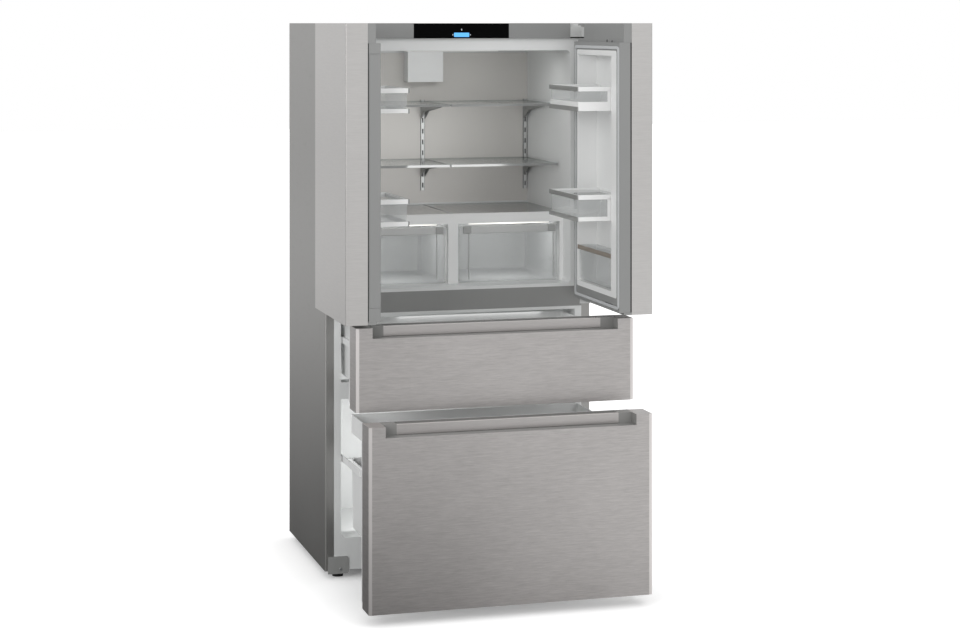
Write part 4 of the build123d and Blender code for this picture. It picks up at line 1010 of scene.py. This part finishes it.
class FRIDGE_OT_fittings(Operator):
    """Adds dark pieces that paint the shade in the shelf tracks' slots and along their edges, a rear rail,
    grip end plates, black strips that paint the shadow gaps at the doors' edges and under the top hinges, and
    the doors' pins and clips
    """

    bl_idname = "fridge.fittings"
    bl_label = "Fittings"

    def execute(self, context):
        sizes = context.scene.fridge_sizes
        colours = context.scene.fridge_colours
        black = bpy.data.materials["black_moulding"]
        # A dark finish that paints the shade in the tracks' slots and the shadow beside them.
        shade = moulded("track_slot_shade", tint(colours.black, 2.5), 0.5)
        self.tracks(sizes, shade)
        self.rear_rail(sizes)
        for name in DRAWERS:
            self.end_plates(name, sizes)
        for side, inward in SIDES.items():
            self.door(side, inward, sizes, black)
            self.hinge_gap_shadow(side, inward, sizes, black)
        return {"FINISHED"}

    def tracks(self, sizes, shade):
        """Dark pieces that paint the shade inside the slots, and the shadow in the narrow gaps along both
        edges of each track.
        """
        thickest_track = 0.005
        pitch = 0.038
        half_width = 0.0024
        half_height = 0.0083
        pieces = []
        for low, high in solids("shelf_supports"):
            if high.y - low.y > thickest_track:
                continue
            middle = (low.x + high.x) / 2
            across = (middle - half_width, middle + half_width)
            # Painted shade: a dark piece in each slot.
            for number in range(int((high.z - low.z) // pitch)):
                z = low.z + pitch * (number + 0.5)
                slot = block(across, (low.y + 0.0004, low.y + 0.0034), (z - half_height, z + half_height))
                pieces.append(bar("slot", slot, 0.002, sizes.arc_steps))
            # Painted shadow: a dark strip in the gap along each edge of the track.
            for x in (low.x - 0.0014, high.x + 0.0002):
                edge_shadow = block((x, x + 0.0012), (low.y + 0.0008, high.y), (low.z, high.z))
                pieces.append(bar("edge_shadow", edge_shadow, 0.0003, sizes.arc_steps))
        dress(joined("track_slot_shadows", pieces), "cabinet", shade, "black_plastic")

    def rear_rail(self, sizes):
        """The white rail behind the crispers' covers."""
        low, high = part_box("crisper_covers")
        rail = block((low.x, high.x), (high.y - 0.010, high.y - 0.002), (high.z, high.z + 0.006))
        white = bpy.data.materials["white_moulding"]
        dress(bar("crisper_rear_rail", rail, 0.001, sizes.arc_steps), "cabinet", white, "white_plastic")

    def end_plates(self, name, sizes):
        """Plates that close the sides of the notch in front of the grip's cheeks."""
        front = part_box(name + "_drawer_skin")[0].y
        low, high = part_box(name + "_drawer_recess")
        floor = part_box(name + "_drawer_grip")[0].z
        plates = []
        for x in (low.x - 0.0022, high.x + 0.0002):
            plate = block((x, x + 0.0020), (front + 0.0015, front + 0.0500), (floor, high.z - 0.0005))
            plates.append(bar("plate", plate, 0.0004, sizes.arc_steps))
        dark = bpy.data.materials["dark_moulding"]
        dress(joined(name + "_grip_plates", plates), name + "_drawer", dark, "grey_plastic")

    def door(self, side, inward, sizes, black):
        """A black strip at the steel's edge that paints the shadow gap between steel and frame, and two pins
        and a clip on the frame.
        """
        steps = sizes.arc_steps
        body = side + "_door"
        low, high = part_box(side + "_door_skin")
        edge = high.x if inward > 0 else low.x
        # Painted shadow: the black strip stands in the gap between the steel's edge and the frame.
        seal = block(
            (edge, edge + inward * 0.0034), (low.y + 0.0012, low.y + 0.0090), (low.z + 0.012, high.z - 0.062)
        )
        dress(bar(side + "_edge_seal", seal, 0.0006, steps), body, black, "black_plastic")

        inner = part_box(side + "_door_liner")[1].x if inward > 0 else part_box(side + "_door_liner")[0].x
        pin_x = inner - inward * 0.004
        pin_z = high.z - 0.061
        half = 0.0015
        for number, (y, height) in enumerate(((0.131, 0.009), (0.083, 0.006))):
            pin_y = low.y + y
            pin = block((pin_x - half, pin_x + half), (pin_y - half, pin_y + half), (pin_z, pin_z + height))
            dress(bar(f"{side}_pin_{number}", pin, 0.0014, steps), body, black, "black_plastic")

        clip = block(
            (inner, inner + inward * 0.0012), (low.y + 0.066, low.y + 0.136), (low.z + 0.019, low.z + 0.027)
        )
        dress(bar(side + "_clip", clip, 0.0005, steps), body, black, "black_plastic")

    def hinge_gap_shadow(self, side, inward, sizes, black):
        """A black strip that paints the shadow gap under a top hinge, beside the display."""
        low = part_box("display_panel")[0]
        x = (-inward * 0.385, -inward * 0.451)
        # Painted shadow under the hinge arm.
        gap_shadow_strip = block(x, (low.y + 0.001, low.y + 0.011), (low.z + 0.0003, low.z + 0.0037))
        dress(bar(side + "_hinge_pad", gap_shadow_strip, 0.0004, sizes.arc_steps), "cabinet", black, "black_plastic")


class FRIDGE_OT_screws(Operator):
    """Adds the domed screws of the corner plates and the flush ones of the rear panels"""

    bl_idname = "fridge.screws"
    bl_label = "Screws"

    def execute(self, context):
        sizes = context.scene.fridge_sizes
        radius = sizes.screw
        zinc = bpy.data.materials["zinc_plating"]
        low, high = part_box("corner_plates")
        for number, side in enumerate((-1, 1)):
            centre = (side * (high.x - 0.041), low.y, low.z + 0.015)
            screw(f"plate_screw_{number}", centre, 1, -1, radius, radius, zinc, "cabinet")
        low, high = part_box("rear_panels")
        inset = 0.02
        columns = 5
        pitch = (high.x - low.x - 2 * inset) / (columns - 1)
        heights = (low.z + inset, low.z + 0.228, low.z + 0.26, (low.z + high.z) / 2, high.z - inset)
        for row, height in enumerate(heights):
            for column in range(columns):
                centre = (low.x + inset + column * pitch, high.y, height)
                screw(f"rear_screw_{row}_{column}", centre, 1, 1, radius, sizes.flush, zinc, "cabinet")
        return {"FINISHED"}


# Studio

def area_lamp(name, place, target, width, height, power):
    """A rectangular lamp that stands in one place and faces another."""
    lamp = bpy.data.lights.new(name, "AREA")
    lamp.shape = "RECTANGLE"
    lamp.size = width
    lamp.size_y = height
    lamp.energy = power
    holder = bpy.data.objects.new(name, lamp)
    bpy.context.scene.collection.objects.link(holder)
    holder.location = place
    holder.rotation_euler = (Vector(target) - Vector(place)).to_track_quat("-Z", "Y").to_euler()


def studio_floor():
    """A wide pale floor with a painted soft shadow round the object's footprint, and a darker graded face
    with painted shade that lights the object less than the pale face shows.
    """
    made, web = material("studio_floor")
    mottle = web.noise((1.5, 1.5, 1.5), 2.0)
    footprint_half_width = 0.455
    footprint_half_depth = 0.55
    footprints = 10.0
    beside = web.maths("ABSOLUTE", web.along("X")) / footprint_half_width
    ahead = web.maths("ABSOLUTE", web.along("Y")) / footprint_half_depth
    apart = web.maths("MAXIMUM", beside, ahead) / footprints
    # Painted shadow: the floor's glow is weaker round the object's footprint, so the camera sees it darker
    # there.
    glow = web.ramp(apart, (0.055, 0.10), (0.104, 0.48), (0.125, 0.66), (0.25, 0.92), (0.70, 1.0))
    pale_sockets = {
        "Base Color": web.mix(mottle, (0.93, 0.93, 0.93, 1), (0.95, 0.95, 0.95, 1)),
        "Roughness": 0.9,
        "Emission Color": glow,
        "Emission Strength": 0.62,
    }
    pale = web.node("ShaderNodeBsdfPrincipled", None, pale_sockets)
    reach = 30.0
    distance = web.node("ShaderNodeVectorMath", {"operation": "LENGTH"}, {0: web.place()}, "Value")
    # Painted shade for reflections and bounce light: this face is darker near the object and lighter towards
    # the right, and it shows in the steel's reflections.
    rings = ((1.0, 0.14), (3.0, 0.32), (7.0, 0.80), (13.0, 0.94), (20.0, 0.80), (28.0, 0.25))
    rising = web.ramp(distance / reach, *[(metres / reach, level) for metres, level in rings])
    ahead_right = (0.40 + 0.58 * web.along("X")) * web.ramp(distance / reach, (0.12, 1.0), (0.22, 0.8))
    dim = web.maths("MINIMUM", web.maths("MAXIMUM", rising, ahead_right), 0.92)
    reflected = web.node("ShaderNodeBsdfPrincipled", None, {"Base Color": dim, "Roughness": 0.9})
    seen = web.node("ShaderNodeLightPath", output="Is Camera Ray")
    both = web.node("ShaderNodeMixShader", None, {0: seen, 1: reflected, 2: pale})
    web.node("ShaderNodeOutputMaterial", None, {"Surface": both})
    corners = ((-reach, -reach), (reach, -reach), (reach, reach), (-reach, reach))
    floor = loft("studio_floor", [[(x, y, height) for x, y in corners] for height in (-0.02, 0.0)])
    floor.data.materials.append(made)


def studio_world(ambient):
    """White where it is seen, and a softer even light on the object."""
    world = bpy.data.worlds.new("studio")
    bpy.context.scene.world = world
    web = Web(world)
    seen = web.node("ShaderNodeLightPath", output="Is Camera Ray")
    through = web.node("ShaderNodeLightPath", output="Is Transmission Ray")
    shown = web.maths("MAXIMUM", seen, through)
    even = web.node("ShaderNodeBackground", None, {"Color": (1, 1, 1, 1), "Strength": ambient})
    white = web.node("ShaderNodeBackground", None, {"Color": (1, 1, 1, 1), "Strength": 1.0})
    both = web.node("ShaderNodeMixShader", None, {0: shown, 1: even, 2: white})
    web.node("ShaderNodeOutputWorld", None, {"Surface": both})


class FRIDGE_OT_studio(Operator):
    """Sets the floor, the light and the camera"""

    bl_idname = "fridge.studio"
    bl_label = "Studio"

    def execute(self, context):
        studio = context.scene.fridge_studio
        context.scene.view_settings.view_transform = "Standard"
        studio_floor()
        studio_world(studio.ambient)
        lamps = (
            ("key_lamp", (-4.6, -4.4, 2.6), (0.1, -0.4, 0.9), 2.6, 2.6, studio.key),
            ("fill_lamp", (2.4, -4.2, 4.8), (0.0, -0.4, 0.9), 3.2, 3.2, studio.fill),
            ("fridge_lamp", (0.0, 0.13, 1.71), (0.0, 0.40, 1.20), 0.6, 0.10, studio.fridge_lamp),
            ("inner_card", (-0.06, 0.11, 1.35), (-0.04, 0.40, 1.34), 0.5, 0.34, studio.inner_card),
            ("left_crisper_lamp", (-0.20, 0.14, 1.12), (-0.20, 0.42, 0.98), 0.22, 0.05, studio.crisper_lamp),
            ("right_crisper_lamp", (0.20, 0.14, 1.12), (0.20, 0.42, 0.98), 0.22, 0.05, studio.crisper_lamp),
            ("freezer_lamp", (0.0, 0.15, 0.57), (0.0, 0.25, 0.20), 0.6, 0.05, studio.freezer_lamp),
            ("upper_lamp", (0.06, 0.10, 0.85), (0.06, 0.30, 0.72), 0.5, 0.05, studio.upper_lamp),
            ("rear_card", (-0.20, 0.12, 0.38), (-0.25, 0.45, 0.38), 0.35, 0.50, studio.rear_card),
        )
        for lamp in lamps:
            area_lamp(*lamp)
        optics = bpy.data.cameras.new("camera")
        optics.lens = studio.lens
        optics.shift_y = studio.rise
        optics.clip_end = 100.0
        camera = bpy.data.objects.new("camera", optics)
        context.scene.collection.objects.link(camera)
        camera.location = studio.camera_place
        camera.rotation_euler = (math.pi / 2, 0.0, -studio.camera_turn)
        context.scene.camera = camera
        return {"FINISHED"}


# Operators in the order in which they run: later ones use materials of earlier ones
PIECES = (
    FRIDGE_OT_finishes,
    FRIDGE_OT_door_bins,
    FRIDGE_OT_crispers,
    FRIDGE_OT_gaskets,
    FRIDGE_OT_drawer_boxes,
    FRIDGE_OT_display,
    FRIDGE_OT_fittings,
    FRIDGE_OT_screws,
    FRIDGE_OT_studio,
)


class FRIDGE_PT_panel(Panel):
    """Lists the refrigerator's pieces"""

    bl_idname = "FRIDGE_PT_panel"
    bl_label = "Refrigerator"
    bl_space_type = "VIEW_3D"
    bl_region_type = "UI"
    bl_category = "Refrigerator"

    def draw(self, context):
        for piece in PIECES:
            self.layout.operator(piece.bl_idname)
        for group in GROUPS:
            settings = getattr(context.scene, group)
            for name in settings.__annotations__:
                self.layout.prop(settings, name)


GROUPS = {"fridge_sizes": FridgeSizes, "fridge_colours": FridgeColours, "fridge_studio": FridgeStudio}
CLASSES = (*GROUPS.values(), *PIECES, FRIDGE_PT_panel)


def register():
    for made in CLASSES:
        bpy.utils.register_class(made)
    for name, group in GROUPS.items():
        setattr(bpy.types.Scene, name, PointerProperty(type=group))


def unregister():
    for name in GROUPS:
        delattr(bpy.types.Scene, name)
    for made in reversed(CLASSES):
        bpy.utils.unregister_class(made)


def main():
    """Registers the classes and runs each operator."""
    register()
    for piece in PIECES:
        group, name = piece.bl_idname.split(".")
        getattr(getattr(bpy.ops, group), name)()


if __name__ == "__main__":
    main()
